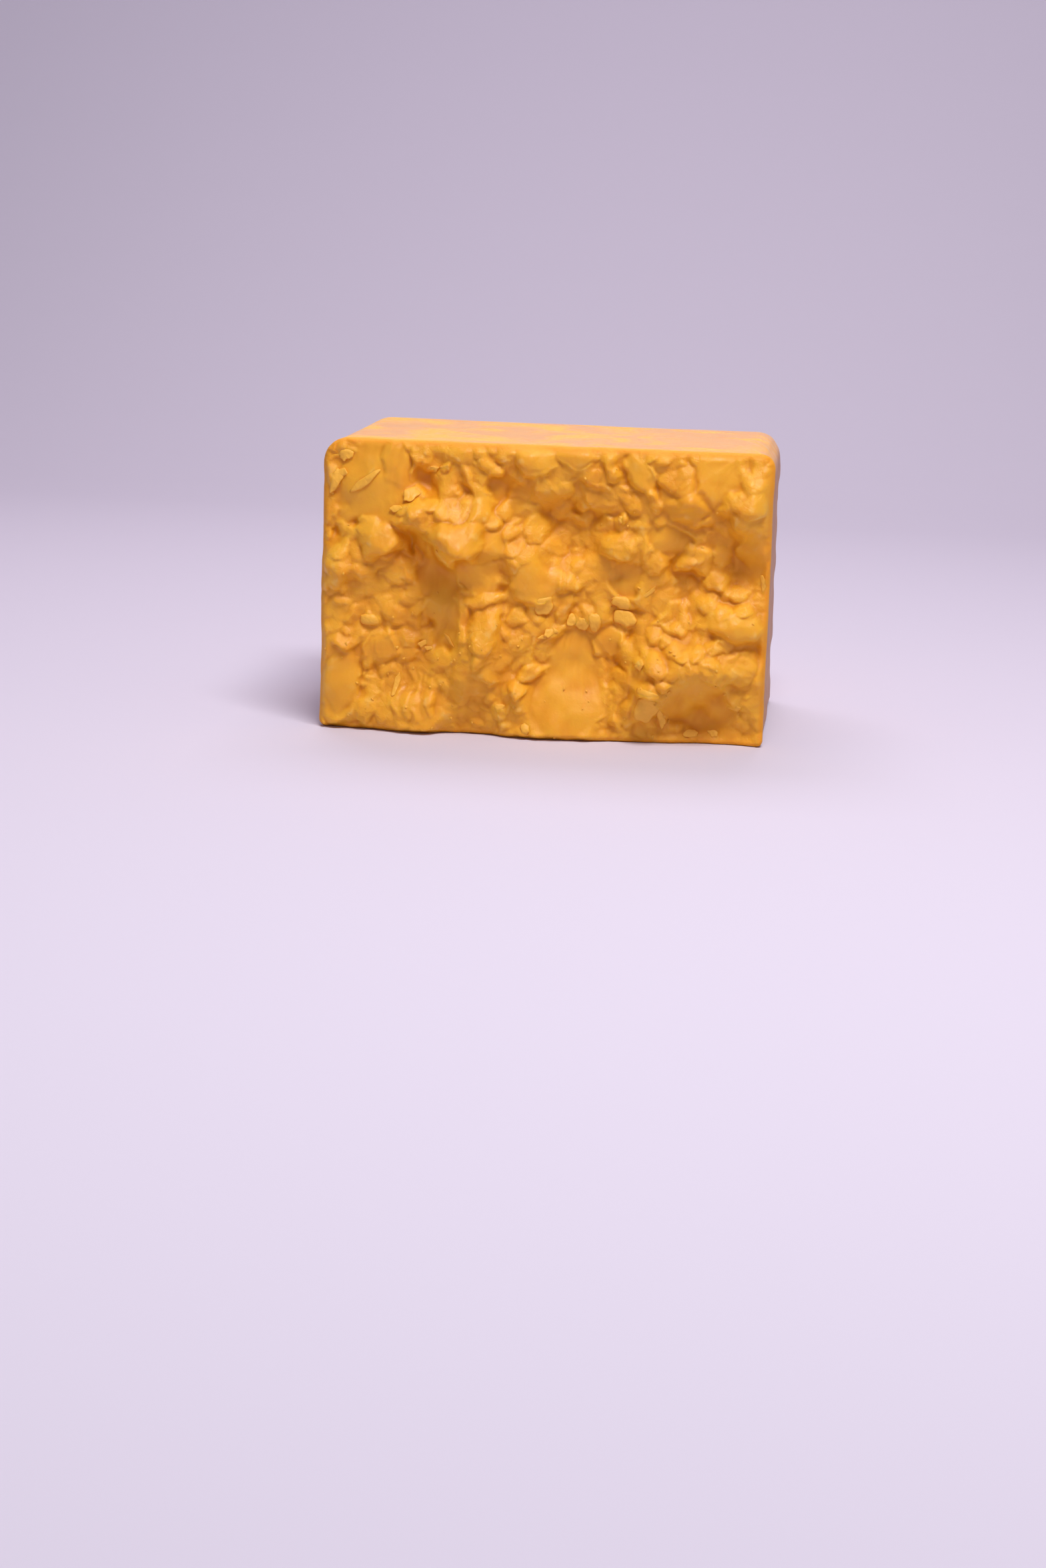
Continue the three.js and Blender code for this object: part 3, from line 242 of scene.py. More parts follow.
# How the forms above are put together. A blend fills the corner between two forms.
tearing = {
    "swellHeight": 1.9,
    "swellFall": 1.1,
    "lumpRise": 0.88,
    "curdTop": 0.92,       # share of a lump's half width that is rounded, before its flank falls
    "flankFall": 2.4,
    "flankEase": 1.2,      # the flank runs out more gently above, and is steeper below
    "arrisCut": 0.45,
    "smoothCut": 0.1,      # the same for the lumps with most sides, which are the smoothest
    "smoothSides": 8,
    "curdBlend": 0.16,
    "facetBlend": 0.35,
    "fanBlend": 0.4,
    "lumpBlend": 0.28,
    "leafBlend": 0.08,
    "joinBlend": 0.4,
    "curdSink": 0.6,
    "curdOnLump": 0.6,
    "crackDepth": 0.18,
    "crackWidth": 0.12,
    "creaseFill": 0.55,    # how much of the narrowest creases is filled again
}


def scramble(i, j, k):  # the same number from 0 to 1 for the same three whole numbers
    with np.errstate(over="ignore"):
        i, j, k = [np.asarray(value).astype(np.int64).astype(np.uint32) for value in (i, j, k)]
        h = (i * np.uint32(0x9E3779B1)) ^ (j * np.uint32(0x85EBCA77)) ^ (k * np.uint32(0xC2B2AE3D))
        h = (h ^ (h >> np.uint32(15))) * np.uint32(0x2C1B3C6D)
        h = (h ^ (h >> np.uint32(12))) * np.uint32(0x297A2D39)
        h = h ^ (h >> np.uint32(15))
    return h.astype(np.float64) / 4294967296


def smoothStep(x, start, end):
    t = np.clip((x - start) / (end - start), 0, 1)
    return t * t * (3 - 2 * t)


def wave(x, y, seed):  # a smooth random wave from -1 to 1 with hills one unit apart
    i, j = np.floor(x), np.floor(y)
    a, b = x - i, y - j
    a = a * a * a * (a * (a * 6 - 15) + 10)
    b = b * b * b * (b * (b * 6 - 15) + 10)
    low = scramble(i, j, seed) * (1 - a) + scramble(i + 1, j, seed) * a
    high = scramble(i, j + 1, seed) * (1 - a) + scramble(i + 1, j + 1, seed) * a
    return 2 * (low * (1 - b) + high * b) - 1


def softMax(a, b, blend):  # the larger height, with the corner between the two filled in
    overlap = np.maximum(blend - np.abs(a - b), 0) / blend
    return np.maximum(a, b) + 0.25 * blend * overlap * overlap


def insideOval(across, up, oval):  # places measured from an oval's middle, in its own half sizes
    middleAcross, middleUp, halfWidth, halfHeight, degrees = oval[:5]
    turn = math.radians(degrees)
    right, rise = across - middleAcross, up - middleUp
    x = (right * math.cos(turn) + rise * math.sin(turn)) / halfWidth
    y = (rise * math.cos(turn) - right * math.sin(turn)) / halfHeight
    return x, y


def manySided(x, y, sides, seed):  # 1 on the outline of an uneven polygon with softened corners
    outline = None
    for side in range(sides):
        angle = 2 * math.pi * (side + 0.6 * (float(scramble(seed, side, 11)) - 0.5)) / sides
        reach = 0.86 + 0.22 * float(scramble(seed, side, 12))
        distance = (x * math.cos(angle) + y * math.sin(angle)) / reach
        outline = distance if outline is None else softMax(outline, distance, 0.3)
    return outline


def leaning(across, up, shape, r, leanAcross, leanUp):  # the tilt stops growing at the outline
    hold = 1 / np.maximum(r, 1)
    return hold * (leanAcross * (across - shape[0]) + leanUp * (up - shape[1]))


def facetForm(across, up, shape, seed):  # a torn facet with sloping walls
    rise, leanAcross, leanUp, sides, wall = shape[5:]
    x, y = insideOval(across, up, shape)
    r = manySided(x, y, sides, seed)
    past = r - 0.66  # the share of the half width where the facet starts to bend over
    bend = 0.5
    drop = np.where(past <= 0, 0, np.where(past < bend, past * past / (2 * bend), past - bend / 2))
    size = min(shape[2], shape[3], 3.5)
    lowered = size * (0.04 * (x * x + y * y) + 1.6 * wall * drop)
    return rise + leaning(across, up, shape, r, leanAcross, leanUp) - lowered


def lumpForm(across, up, shape, seed):  # a curd broken along an arris, steep below, running out above
    base, rise, leanAcross, leanUp, sides = shape[5:]
    x, y = insideOval(across, up, shape)
    r = 0.5 * np.hypot(x, y) + 0.5 * manySided(x, y, sides, seed)
    top = tearing["curdTop"]
    inner = np.clip(r, 0, top)
    aim = 2 * math.pi * float(scramble(seed, 7, 13))
    sharpness = tearing["arrisCut"] if sides < tearing["smoothSides"] else tearing["smoothCut"]
    arris = sharpness * np.maximum(x * math.cos(aim) + y * math.sin(aim) - 0.05, 0)
    above = np.clip((up - shape[1]) / max(shape[2], shape[3]), -1, 1)
    fall = tearing["flankFall"] - tearing["flankEase"] * above
    profile = np.sqrt(1 - inner ** 2.5) - fall * np.maximum(r - top, 0) - arris
    return base + tearing["lumpRise"] * rise * profile + leaning(across, up, shape, r, leanAcross, leanUp)


def makeCurds(size):
    curds = []
    columns = math.ceil(block["width"] / size["spacing"]) + 2
    rows = math.ceil(block["height"] / size["spacing"]) + 2
    level = size["level"]
    for row in range(rows):
        for column in range(columns):
            draw = [float(scramble(column + 57 * level, row + 91 * level, k)) for k in range(10)]
            nudge = column - 0.5 + 0.5 * (row % 2) + 0.8 * (draw[1] - 0.5)
            across = -block["width"] / 2 + nudge * size["spacing"]
            up = (row - 0.5 + 0.8 * (draw[2] - 0.5)) * size["spacing"]
            half = size["half"] * (0.75 + 0.5 * draw[3])
            stretch = 1 + 0.55 * (draw[4] - 0.5)
            zone = size["zone"] * float(wave(across / 16, up / 16, 77 if level < 4 else 78))
            base = size["base"] + zone + 2 * size["spread"] * (draw[8] - 0.5)
            leanAcross = 2 * size["lean"] * (draw[6] - 0.5)
            leanUp = 2 * size["lean"] * (draw[7] - 0.5) - 0.12
            curds.append((across, up, half * stretch, half / stretch, 180 * draw[5], base,
                          size["round"] * half, leanAcross, leanUp, 5 + int(3 * draw[9])))
    return curds


def coverWith(height, form, shapes, across, up, columns, rows, blend, firstSeed):
    for index, shape in enumerate(shapes):
        reach = 2.2 * max(shape[2], shape[3]) + 2.5
        left, right = np.searchsorted(columns, [shape[0] - reach, shape[0] + reach])
        foot, top = np.searchsorted(rows, [shape[1] - reach, shape[1] + reach])
        if right > left and top > foot:
            part = (slice(foot, top), slice(left, right))
            grown = form(across[part], up[part], shape, firstSeed + index)
            height[part] = softMax(height[part], grown, blend)
    return height


def fanHeight(across, up):
    fallen = np.clip((fan["tipUp"] - up) / (fan["tipUp"] - fan["footUp"]), 0.0001, 1.2)
    left = fan["tipAcross"] + (fan["footLeft"] - fan["tipAcross"]) * fallen ** 0.75
    right = fan["tipAcross"] + (fan["footRight"] - fan["tipAcross"]) * fallen ** 0.6
    offset = (across - (left + right) / 2) / np.maximum((right - left) / 2, 0.5)
    side = np.maximum(np.abs(offset) - 0.75, 0)
    aboveTip = np.maximum(up - fan["tipUp"] + 2, 0)
    return fan["rise"] - 1.2 * (1 - fallen) - 0.5 * offset * offset - 7 * side * side - 1.6 * aboveTip


def calmness(across, up):
    calm = np.zeros_like(across)
    for area in calmAreas:
        x, y = insideOval(across, up, area)
        calm = np.maximum(calm, area[5] * (1 - smoothStep(np.hypot(x, y), 0.84, 1.12)))
    return calm


def grooveDepth(across, up):
    depth = np.zeros_like(across)
    for x0, y0, x1, y1, halfWidth, deep in grooves:
        length = math.hypot(x1 - x0, y1 - y0)
        along = ((across - x0) * (x1 - x0) + (up - y0) * (y1 - y0)) / length ** 2
        side = ((across - x0) * (y1 - y0) - (up - y0) * (x1 - x0)) / length
        ends = smoothStep(along, -0.12, 0.12) * (1 - smoothStep(along, 0.88, 1.12))
        depth = np.maximum(depth, deep * ends * np.exp(-(side / halfWidth) ** 2))
    return depth


# Waves that bend the forms' outlines: how far they push a place and how far apart their hills are
slowBends = [(1.0, 12), (1.2, 5)]
fineBends = [(0.45, 2.2), (0.14, 0.9)]


def bentBy(bends, start, across, up, firstSeed):
    for index, (push, hill) in enumerate(bends):
        start = start + push * wave(across / hill, up / hill, firstSeed + index)
    return start


def relief(columns, rows):  # how far the break stands out over a grid of places, and how calm it is
    across, up = np.meshgrid(columns, rows)
    slowAcross = bentBy(slowBends, across, across, up, 21)
    slowUp = bentBy(slowBends, up, across, up, 31)
    x = bentBy(fineBends, slowAcross, across, up, 23)
    y = bentBy(fineBends, slowUp, across, up, 33)
    broad = 0.9 * wave(across / 10, up / 10, 71) + 0.25 * wave(across / 4, up / 4, 72)
    for swell in swells:
        right, rise = insideOval(slowAcross, slowUp, swell)
        fall = np.exp(-tearing["swellFall"] * (right * right + rise * rise))
        broad += tearing["swellHeight"] * swell[5] * fall
    calm = calmness(x, y)
    curds = np.full_like(broad, -2.0)
    for size in curdSizes:
        firstSeed = 5000 + 4000 * size["level"]
        grown = makeCurds(size)
        curds = coverWith(curds, lumpForm, grown, x, y, columns, rows, tearing["curdBlend"], firstSeed)
    cracks = wave(x / 3.4, y / 3.4, 43)
    curds -= tearing["crackDepth"] * np.exp(-(cracks / tearing["crackWidth"]) ** 2)
    curds += 0.06 * wave(x / 1.3, y / 1.3, 44) - tearing["curdSink"]
    floor = np.full_like(broad, -0.2)
    torn = coverWith(floor, facetForm, crags, x, y, columns, rows, tearing["facetBlend"], 1000)
    torn = softMax(torn, fanHeight(x, y), tearing["fanBlend"])
    height = torn + curds * (1 - calm) + 0.12 * calm * wave(across / 5, up / 5, 81)
    floor = np.full_like(broad, -3)
    single = coverWith(floor, lumpForm, lumps, x, y, columns, rows, tearing["lumpBlend"], 2000)
    height = softMax(height, single - 0.4 + tearing["curdOnLump"] * (curds + 0.3), tearing["joinBlend"])
    height = coverWith(height, facetForm, leaves, x, y, columns, rows, tearing["leafBlend"], 3000)
    for gap in gaps:
        right, rise = insideOval(x, y, gap)
        height -= gap[5] * np.exp(-1.2 * (right * right + rise * rise))
    return broad, height - grooveDepth(x, y) + streaks(x, y), calm


def streaks(across, up):  # fine ridges left by the tearing, in the fan and along each calm area
    angle = np.arctan2(across - fan["tipAcross"], fan["tipUp"] + 8 - up)
    total = np.zeros_like(across)
    weight = np.full_like(across, 0.15)
    for area in calmAreas:
        x, y = insideOval(across, up, area)
        strength = area[5] * (1 - smoothStep(np.hypot(x, y), 0.84, 1.2))
        along = math.radians(80 + area[4])
        side = -across * math.sin(along) + up * math.cos(along)
        run = across * math.cos(along) + up * math.sin(along)
        total += strength * (0.10 * wave(side / 1.5, run / 14, 61) + 0.06 * wave(side / 0.7, run / 8, 62))
        weight += strength
    ridges = np.zeros_like(across)
    for zone in fibres:
        x, y = insideOval(across, up, (*zone[:4], 0))
        along = math.radians(zone[4])
        side = -across * math.sin(along) + up * math.cos(along)
        run = across * math.cos(along) + up * math.sin(along)
        fine = wave(side / 1.7, run / 7, 63) + 0.5 * wave(side / 0.8, run / 5, 64)
        ridges += zone[5] * fine * (1 - smoothStep(np.hypot(x, y), 0.6, 1.1))
    inFan = 1 - smoothStep(np.hypot((across - 8) / 13, (up - 15) / 24), 0.8, 1.1)
    radial = 0.09 * wave(angle * 22, up / 18, 51) + 0.05 * wave(angle * 55, up / 8, 52)
    return (total / np.maximum(weight, 1)) * (1 - inFan) + radial * inFan + ridges


def blur(values, reach):  # a soft box blur run twice, reach in cells
    out = values
    for axis in (0, 1, 0, 1):
        padded = np.pad(out, [(reach + 1, reach) if axis == k else (0, 0) for k in (0, 1)], mode="edge")
        total = np.cumsum(padded, axis=axis)
        count = 2 * reach + 1
        ahead = np.take(total, range(count, total.shape[axis]), axis=axis)
        behind = np.take(total, range(0, total.shape[axis] - count), axis=axis)
        out = (ahead - behind) / count
    return out


evenGround = 0.62  # the cavity value of even ground: gaps are nearer 0, crests nearer 1
crestCavity = 0.8  # leaves and crumbs stand up like crests


def breakSurface(columns, rows):  # the whole broken face up to its rim, with how calm and how hollow it is
    across, up = np.meshgrid(columns, rows)
    broad, fine, calm = relief(columns, rows)
    height = broad + fine
    half = block["width"] / 2
    edge = np.minimum(half - np.abs(across), np.minimum(up, block["height"] - up))
    leftward = smoothStep(across, 10 - half, -half)
    radius = block["rimRadius"] + (block["leftRimRadius"] - block["rimRadius"]) * leftward
    radius = radius * (1 + 0.3 * wave(across / 9, up / 9, 93))
    rounding = np.clip(radius - edge, 0, radius)
    rim = radius - np.sqrt(radius ** 2 - rounding ** 2)
    inward = smoothStep(edge, 0, block["fadeWidth"])
    uneven = block["rimUnevenness"]
    front = broad * (0.7 + 0.3 * inward) + fine * (uneven + (1 - uneven) * inward) - rim
    front = front + tearing["creaseFill"] * np.maximum(blur(front, 1) - front, 0)
    sharp = sum(share * (height - blur(height, reach)) for share, reach in ((0.4, 2), (0.30, 5), (0.08, 9)))
    cavity = np.clip(evenGround + sharp * inward, 0, 1)
    return front, calm, cavity, inward


def roundCorners(across, up, inset, behind):
    halfWidth = block["width"] / 2 - inset
    front = np.where(across < 0, block["topLeftRadius"], block["topRightRadius"])
    full = smoothStep(behind, 0, block["skinRunIn"])
    topRadius = front * (1 - full) + block["skinRadius"] * full
    radius = np.where(up > block["height"] / 2, topRadius, block["footRadius"])
    innerAcross = np.clip(across, radius - halfWidth, halfWidth - radius)
    innerUp = np.clip(up, radius + inset, block["height"] - inset - radius)
    outAcross, outUp = across - innerAcross, up - innerUp
    length = np.maximum(np.hypot(outAcross, outUp), 1e-9)
    pull = np.maximum(np.abs(outAcross), np.abs(outUp)) / length
    x, z = innerAcross + outAcross * pull, innerUp + outUp * pull
    ragged = 0.5 + 0.3 * wave(z / 12, x / 300, 97) + 0.2 * wave(z / 3.7, x / 300, 98)
    atEdge = smoothStep(np.abs(x), halfWidth - 6, halfWidth) * (1 - smoothStep(behind, 0, 9))
    return x - np.sign(x) * block["wornEdge"] * atEdge * ragged, z


def skinPoint(across, up, behind, inset):  # the skin dips a little here and there, but is flat underneath
    x, z = roundCorners(across, up, inset, behind)
    lift = smoothStep(z, 2, 20) * smoothStep(behind, 0, block["skinRunIn"])
    dip = block["skinWave"] * lift * (0.5 + 0.5 * wave((x + 2 * z) / 26, behind / 24, 91))
    middle = block["height"] / 2
    outward = np.hypot(x, z - middle)
    atSide = smoothStep(np.abs(x) + inset, block["width"] / 2 - 4, block["width"] / 2 - 1)
    folds = 0.5 + 0.5 * wave(z / 6, behind / 17, 92)
    pressed = block["pouchDip"] * atSide * smoothStep(behind, 1, 8) * folds
    return x * (1 - dip / outward) - np.sign(x) * pressed, z - dip * np.maximum(z - middle, 0) / outward


def addMesh(name, points, faces, values):
    mesh = bpy.data.meshes.new(name)
    mesh.from_pydata(points.tolist(), [], faces)
    for label, numbers in values.items():
        mesh.attributes.new(label, "FLOAT", "POINT").data.foreach_set("value", numbers.astype(np.float32))
    mesh.polygons.foreach_set("use_smooth", np.ones(len(mesh.polygons), dtype=bool))
    mesh.update()
    thing = bpy.data.objects.new(name, mesh)
    bpy.context.scene.collection.objects.link(thing)
    return thing


def buildBlock():
    half = block["width"] / 2
    across, up = np.meshgrid(columns, rows)
    around = blur(front, 9)
    x, z = roundCorners(across, up, 0, 0)
    z = z - block["droop"] * np.maximum(front - around, 0) * inward
    points = [np.stack([x, rimPlace - front, z], -1).reshape(-1, 3)]
    low = 0.25 + 0.75 * (1 - smoothStep(up, 5, 60))  # more crumbs have stayed low down
    painted = {
        "skin": [(0.35 * (1 - smoothStep(half - np.abs(across), 0, 1)) * (up > 4)).ravel()],
        "side": [np.zeros(across.size)],
        "crumbly": [(low * (1 - 0.7 * calm) * (cavity > 0.5) * smoothStep(inward, 0.4, 0.9)).ravel()],
        "rimBand": [(1 - smoothStep(inward, 0.1, 0.9)).ravel() * 0.8],
        "calm": [calm.ravel()],
        "cavity": [cavity.ravel()],
    }
    first = np.arange(across.size).reshape(across.shape)
    quads = np.stack([first[:-1, :-1], first[:-1, 1:], first[1:, 1:], first[1:, :-1]], -1).reshape(-1, 4)
    faces = quads.tolist()

    # Rings of skin from the rim to the back, where they close on one point
    ringRows = np.concatenate([first[0, :-1], first[:-1, -1], first[-1, :0:-1], first[:0:-1, 0]])
    rimAcross, rimUp, rimBehind = across.ravel()[ringRows], up.ravel()[ringRows], -front.ravel()[ringRows]
    radius = block["backRadius"]
    straight = block["depth"] - radius
    rings = [((k / block["skinRings"]) ** 1.8, 0, 0) for k in range(1, block["skinRings"] + 1)]
    for k in range(1, block["backRings"] + 1):
        angle = 0.5 * math.pi * k / block["backRings"]
        rings.append((1, radius * math.sin(angle), radius * (1 - math.cos(angle))))
    plain = {"crumbly": 0, "calm": 1, "cavity": evenGround}
    previous = ringRows
    total = across.size
    for share, further, inset in rings:
        behind = rimBehind + (straight - rimBehind) * share + further
        ringAcross = rimAcross * (1 - 2 * inset / block["width"])
        ringUp = inset + rimUp * (1 - 2 * inset / block["height"])
        x, z = skinPoint(ringAcross, ringUp, behind, inset)
        points.append(np.stack([x, rimPlace + behind, z], -1))
        current = total + np.arange(len(ringRows))
        total += len(ringRows)
        faces += np.stack([previous, current, np.roll(current, -1), np.roll(previous, -1)], -1).tolist()
        previous = current
        painted["skin"].append(smoothStep(behind - rimBehind, -0.5, 2.5))
        painted["side"].append(smoothStep(np.abs(x) + 0.5 * inset, half - 2.5, half - 0.3))
        painted["rimBand"].append(0.8 * (1 - smoothStep(behind - rimBehind, 0.5, 3.5)))
        for name, value in plain.items():
            painted[name].append(np.full(len(ringRows), float(value)))
    points.append(np.array([[0, rimPlace + block["depth"], block["height"] / 2]]))
    faces += np.stack([previous, np.full_like(previous, total), np.roll(previous, -1)], -1).tolist()
    for name, value in {"skin": 1, "side": 0, "rimBand": 0, **plain}.items():
        painted[name].append(np.array([float(value)]))
    values = {name: np.concatenate(parts) for name, parts in painted.items()}
    values["thick"] = np.ones(total + 1)
    return addMesh("cheddarBlock", np.concatenate(points) * mm, faces, values)


def toLinear(hexColour):
    channels = [int(hexColour[k:k + 2], 16) / 255 for k in (0, 2, 4)]
    return [c / 12.92 if c <= 0.04045 else ((c + 0.055) / 1.055) ** 2.4 for c in channels] + [1]


def addNode(tree, kind, settings, links):
    node = tree.nodes.new(kind)
    for name, value in settings.items():
        if isinstance(name, str) and hasattr(node, name):
            setattr(node, name, value)
        else:
            node.inputs[name].default_value = value
    for name, socket in links.items():
        tree.links.new(socket, node.inputs[name])
    return node


def newMaterial(name):
    material = bpy.data.materials.new(name)
    material.use_nodes = True
    material.node_tree.nodes.clear()
    return material, material.node_tree


# Coloured cheddar, pressed from salted curds and matured in a pouch. Torn open it is waxy: light
# goes about a millimetre in and comes back more orange, and the gloss is soft and broken.
cheeseLook = {
    "torn": "f4b331",
    "ripe": "eea62a",      # slightly deeper patches, about a curd or two across
    "deep": "e09312",      # painted shade: creases and gaps darker and more orange
    "paintedCrestHighlight": "f9ce76",       # a painted highlight: paler on the raised crests, in random patches
    "rim": "ea991a",       # the outermost millimetres, where face and skin meet
    "leaf": "f7b43e",      # thin leaves and crumbs, which hold less light
    "skin": "f0ad62",
    "skinRipe": "f0a852",
    "side": "ad7750",      # painted shade: the sides darker and browner than the top
    # painted reflection: a mauve tint on the sides, in upright streaks
    "paintedSideReflection": "bd9080",
    "patchMm": 9,
    "curdMm": 4,
    "veinMm": 24,          # pale wet patches on the skin, with deeper veins between them
    "tearMm": 2.4,
    "tearDeepMm": 0.28,
    "grainMm": 0.9,
    "grainDeepMm": 0.12,
    "crackMm": 2.8,
    "crackDeepMm": 0.05,
    "crackBendMm": 1.2,
    "creaseMm": 5,         # upright creases that the pouch left on the sides
    "creaseDeepMm": 1.2,
    "skinWaveMm": 22,
    "skinWaveDeepMm": 1.6,
    "tornGloss": (0.36, 0.58),  # roughness of the wettest and the driest places
    "skinGloss": (0.34, 0.65),
    "skinSheen": (0.48, 0.10),  # how strongly they mirror
    "tornSheen": 0.42,
    "lightReachMm": 0.9,   # light goes in about this far before it comes out again
}


def painted(tree, name):  # a value stored on the mesh's points
    return addNode(tree, "ShaderNodeAttribute", {"attribute_name": name}, {}).outputs["Fac"]


def hills(tree, place, sizeMm, detail, roughness=0.5, distortion=0.0):  # noise with hills this far apart
    settings = {"Scale": 1 / (sizeMm * mm), "Detail": detail, "Roughness": roughness,
                "Distortion": distortion}
    return addNode(tree, "ShaderNodeTexNoise", settings, {"Vector": place})


def spread(tree, value, start, end, low=0.0, high=1.0):  # start to end becomes low to high
    settings = {"From Min": start, "From Max": end, "To Min": low, "To Max": high}
    return addNode(tree, "ShaderNodeMapRange", settings, {"Value": value}).outputs[0]


def mixed(tree, share, a, b, colour=True):  # from a to b, each a socket, a hex colour or a number
    first = 6 if colour else 2
    settings, links = {"data_type": "RGBA" if colour else "FLOAT"}, {0: share}
    for index, value in ((first, a), (first + 1, b)):
        if isinstance(value, str):
            settings[index] = toLinear(value)
        elif isinstance(value, float):
            settings[index] = value
        else:
            links[index] = value
    return addNode(tree, "ShaderNodeMix", settings, links).outputs[2 if colour else 0]


def times(tree, a, b):
    return addNode(tree, "ShaderNodeMath", {"operation": "MULTIPLY"}, {0: a, 1: b}).outputs[0]


def bumped(tree, height, deepMm, strength, normal):
    links = {"Height": height, "Normal": normal} if normal else {"Height": height}
    settings = {"Distance": deepMm * mm}
    if isinstance(strength, float):
        settings["Strength"] = strength
    else:
        links["Strength"] = strength
    return addNode(tree, "ShaderNodeBump", settings, links).outputs["Normal"]


def makeCheese():
    look = cheeseLook
    material, tree = newMaterial("maturedCheddar")
    place = addNode(tree, "ShaderNodeTexCoord", {}, {}).outputs["Object"]
    names = ("cavity", "skin", "side", "thick", "rimBand", "calm")
    cavity, skin, side, thick, rimBand, calm = [painted(tree, name) for name in names]
    patch = hills(tree, place, look["patchMm"], 3)
    curd = hills(tree, place, look["curdMm"], 2).outputs["Fac"]
    grain = hills(tree, place, look["grainMm"], 3, 0.6).outputs["Fac"]
    tears = hills(tree, place, look["tearMm"], 5, 0.62, 1.1).outputs["Fac"]
    skinWave = hills(tree, place, look["skinWaveMm"], 3, 0.5, 0.6).outputs["Fac"]
    veins = hills(tree, place, look["veinMm"], 3, 0.55, 1.0).outputs["Fac"]
    upright = addNode(tree, "ShaderNodeMapping", {"Scale": (1, 1, 0.12)}, {"Vector": place}).outputs[0]
    creases = hills(tree, upright, look["creaseMm"], 2, 0.5, 0.4).outputs["Fac"]

    # The torn face: riper patches, a painted highlight on the raised crests and painted shade in the creases
    torn = mixed(tree, spread(tree, patch.outputs["Fac"], 0.4, 0.7), look["torn"], look["ripe"])
    raised = spread(tree, cavity, evenGround, 0.95)
    # painted highlight: a paler colour on the raised crests, spread in random patches about a curd across
    crestHighlightShare = times(tree, spread(tree, curd, 0.55, 0.75, 0.0, 0.6), raised)
    withCrestHighlight = mixed(tree, crestHighlightShare, torn, look["paintedCrestHighlight"])
    # painted shade: a darker, more orange colour in the creases and gaps
    withCreaseShade = mixed(tree, spread(tree, cavity, evenGround, 0.05), withCrestHighlight, look["deep"])

    # The moulded skin: soft large patches on top, painted shade and a painted mauve reflection at the sides
    topSkin = mixed(tree, spread(tree, veins, 0.48, 0.64, 0.0, 0.9), look["skin"], look["skinRipe"])
    # painted shade and painted reflection on the sides: darker brown with mauve streaks along the pouch
    # creases
    paintedSideLight = mixed(tree, creases, look["side"], look["paintedSideReflection"])
    wholeSkin = mixed(tree, side, topSkin, paintedSideLight)
    leafy = mixed(tree, thick, look["leaf"], withCreaseShade)
    whole = mixed(tree, rimBand, mixed(tree, skin, leafy, wholeSkin), look["rim"])

    # A broken gloss on the torn face, and a glare in patches on the skin
    gloss = spread(tree, curd, 0.3, 0.7, *look["tornGloss"])
    wetSkin = spread(tree, veins, 0.47, 0.62, *look["skinGloss"])
    rough = mixed(tree, skin, gloss, wetSkin, False)
    rough = mixed(tree, side, rough, 0.62, False)
    rough = mixed(tree, rimBand, rough, 0.7, False)
    skinSheen = spread(tree, veins, 0.47, 0.62, *look["skinSheen"])
    sheen = mixed(tree, skin, look["tornSheen"], skinSheen, False)

    # Bumps only for what is finer than the mesh, except the creases and waves of the skin
    bend = look["crackBendMm"] * mm
    bent = addNode(tree, "ShaderNodeMix", {"data_type": "VECTOR", 0: bend},
                   {4: place, 5: patch.outputs["Color"]})
    cracks = addNode(tree, "ShaderNodeTexVoronoi",
                     {"feature": "DISTANCE_TO_EDGE", "Scale": 1 / (look["crackMm"] * mm)},
                     {"Vector": bent.outputs[1]}).outputs["Distance"]
    rugged = spread(tree, calm, 1.0, 0.3, 0.15, 0.7)
    normal = bumped(tree, spread(tree, cracks, 0.0, 0.10), look["crackDeepMm"], rugged, None)
    normal = bumped(tree, tears, look["tearDeepMm"], rugged, normal)
    normal = bumped(tree, grain, look["grainDeepMm"], 0.45, normal)
    normal = bumped(tree, times(tree, creases, side), look["creaseDeepMm"], 0.6, normal)
    normal = bumped(tree, skinWave, look["skinWaveDeepMm"], skin, normal)
    shader = addNode(tree, "ShaderNodeBsdfPrincipled",
                     {"IOR": 1.42, "Subsurface Radius": (0.8, 0.62, 0.36),
                      "Subsurface Scale": look["lightReachMm"] * mm},
                     {"Subsurface Weight": thick, "Base Color": whole, "Specular IOR Level": sheen,
                      "Roughness": rough, "Normal": normal})
    addNode(tree, "ShaderNodeOutputMaterial", {}, {"Surface": shader.outputs["BSDF"]})
    return material


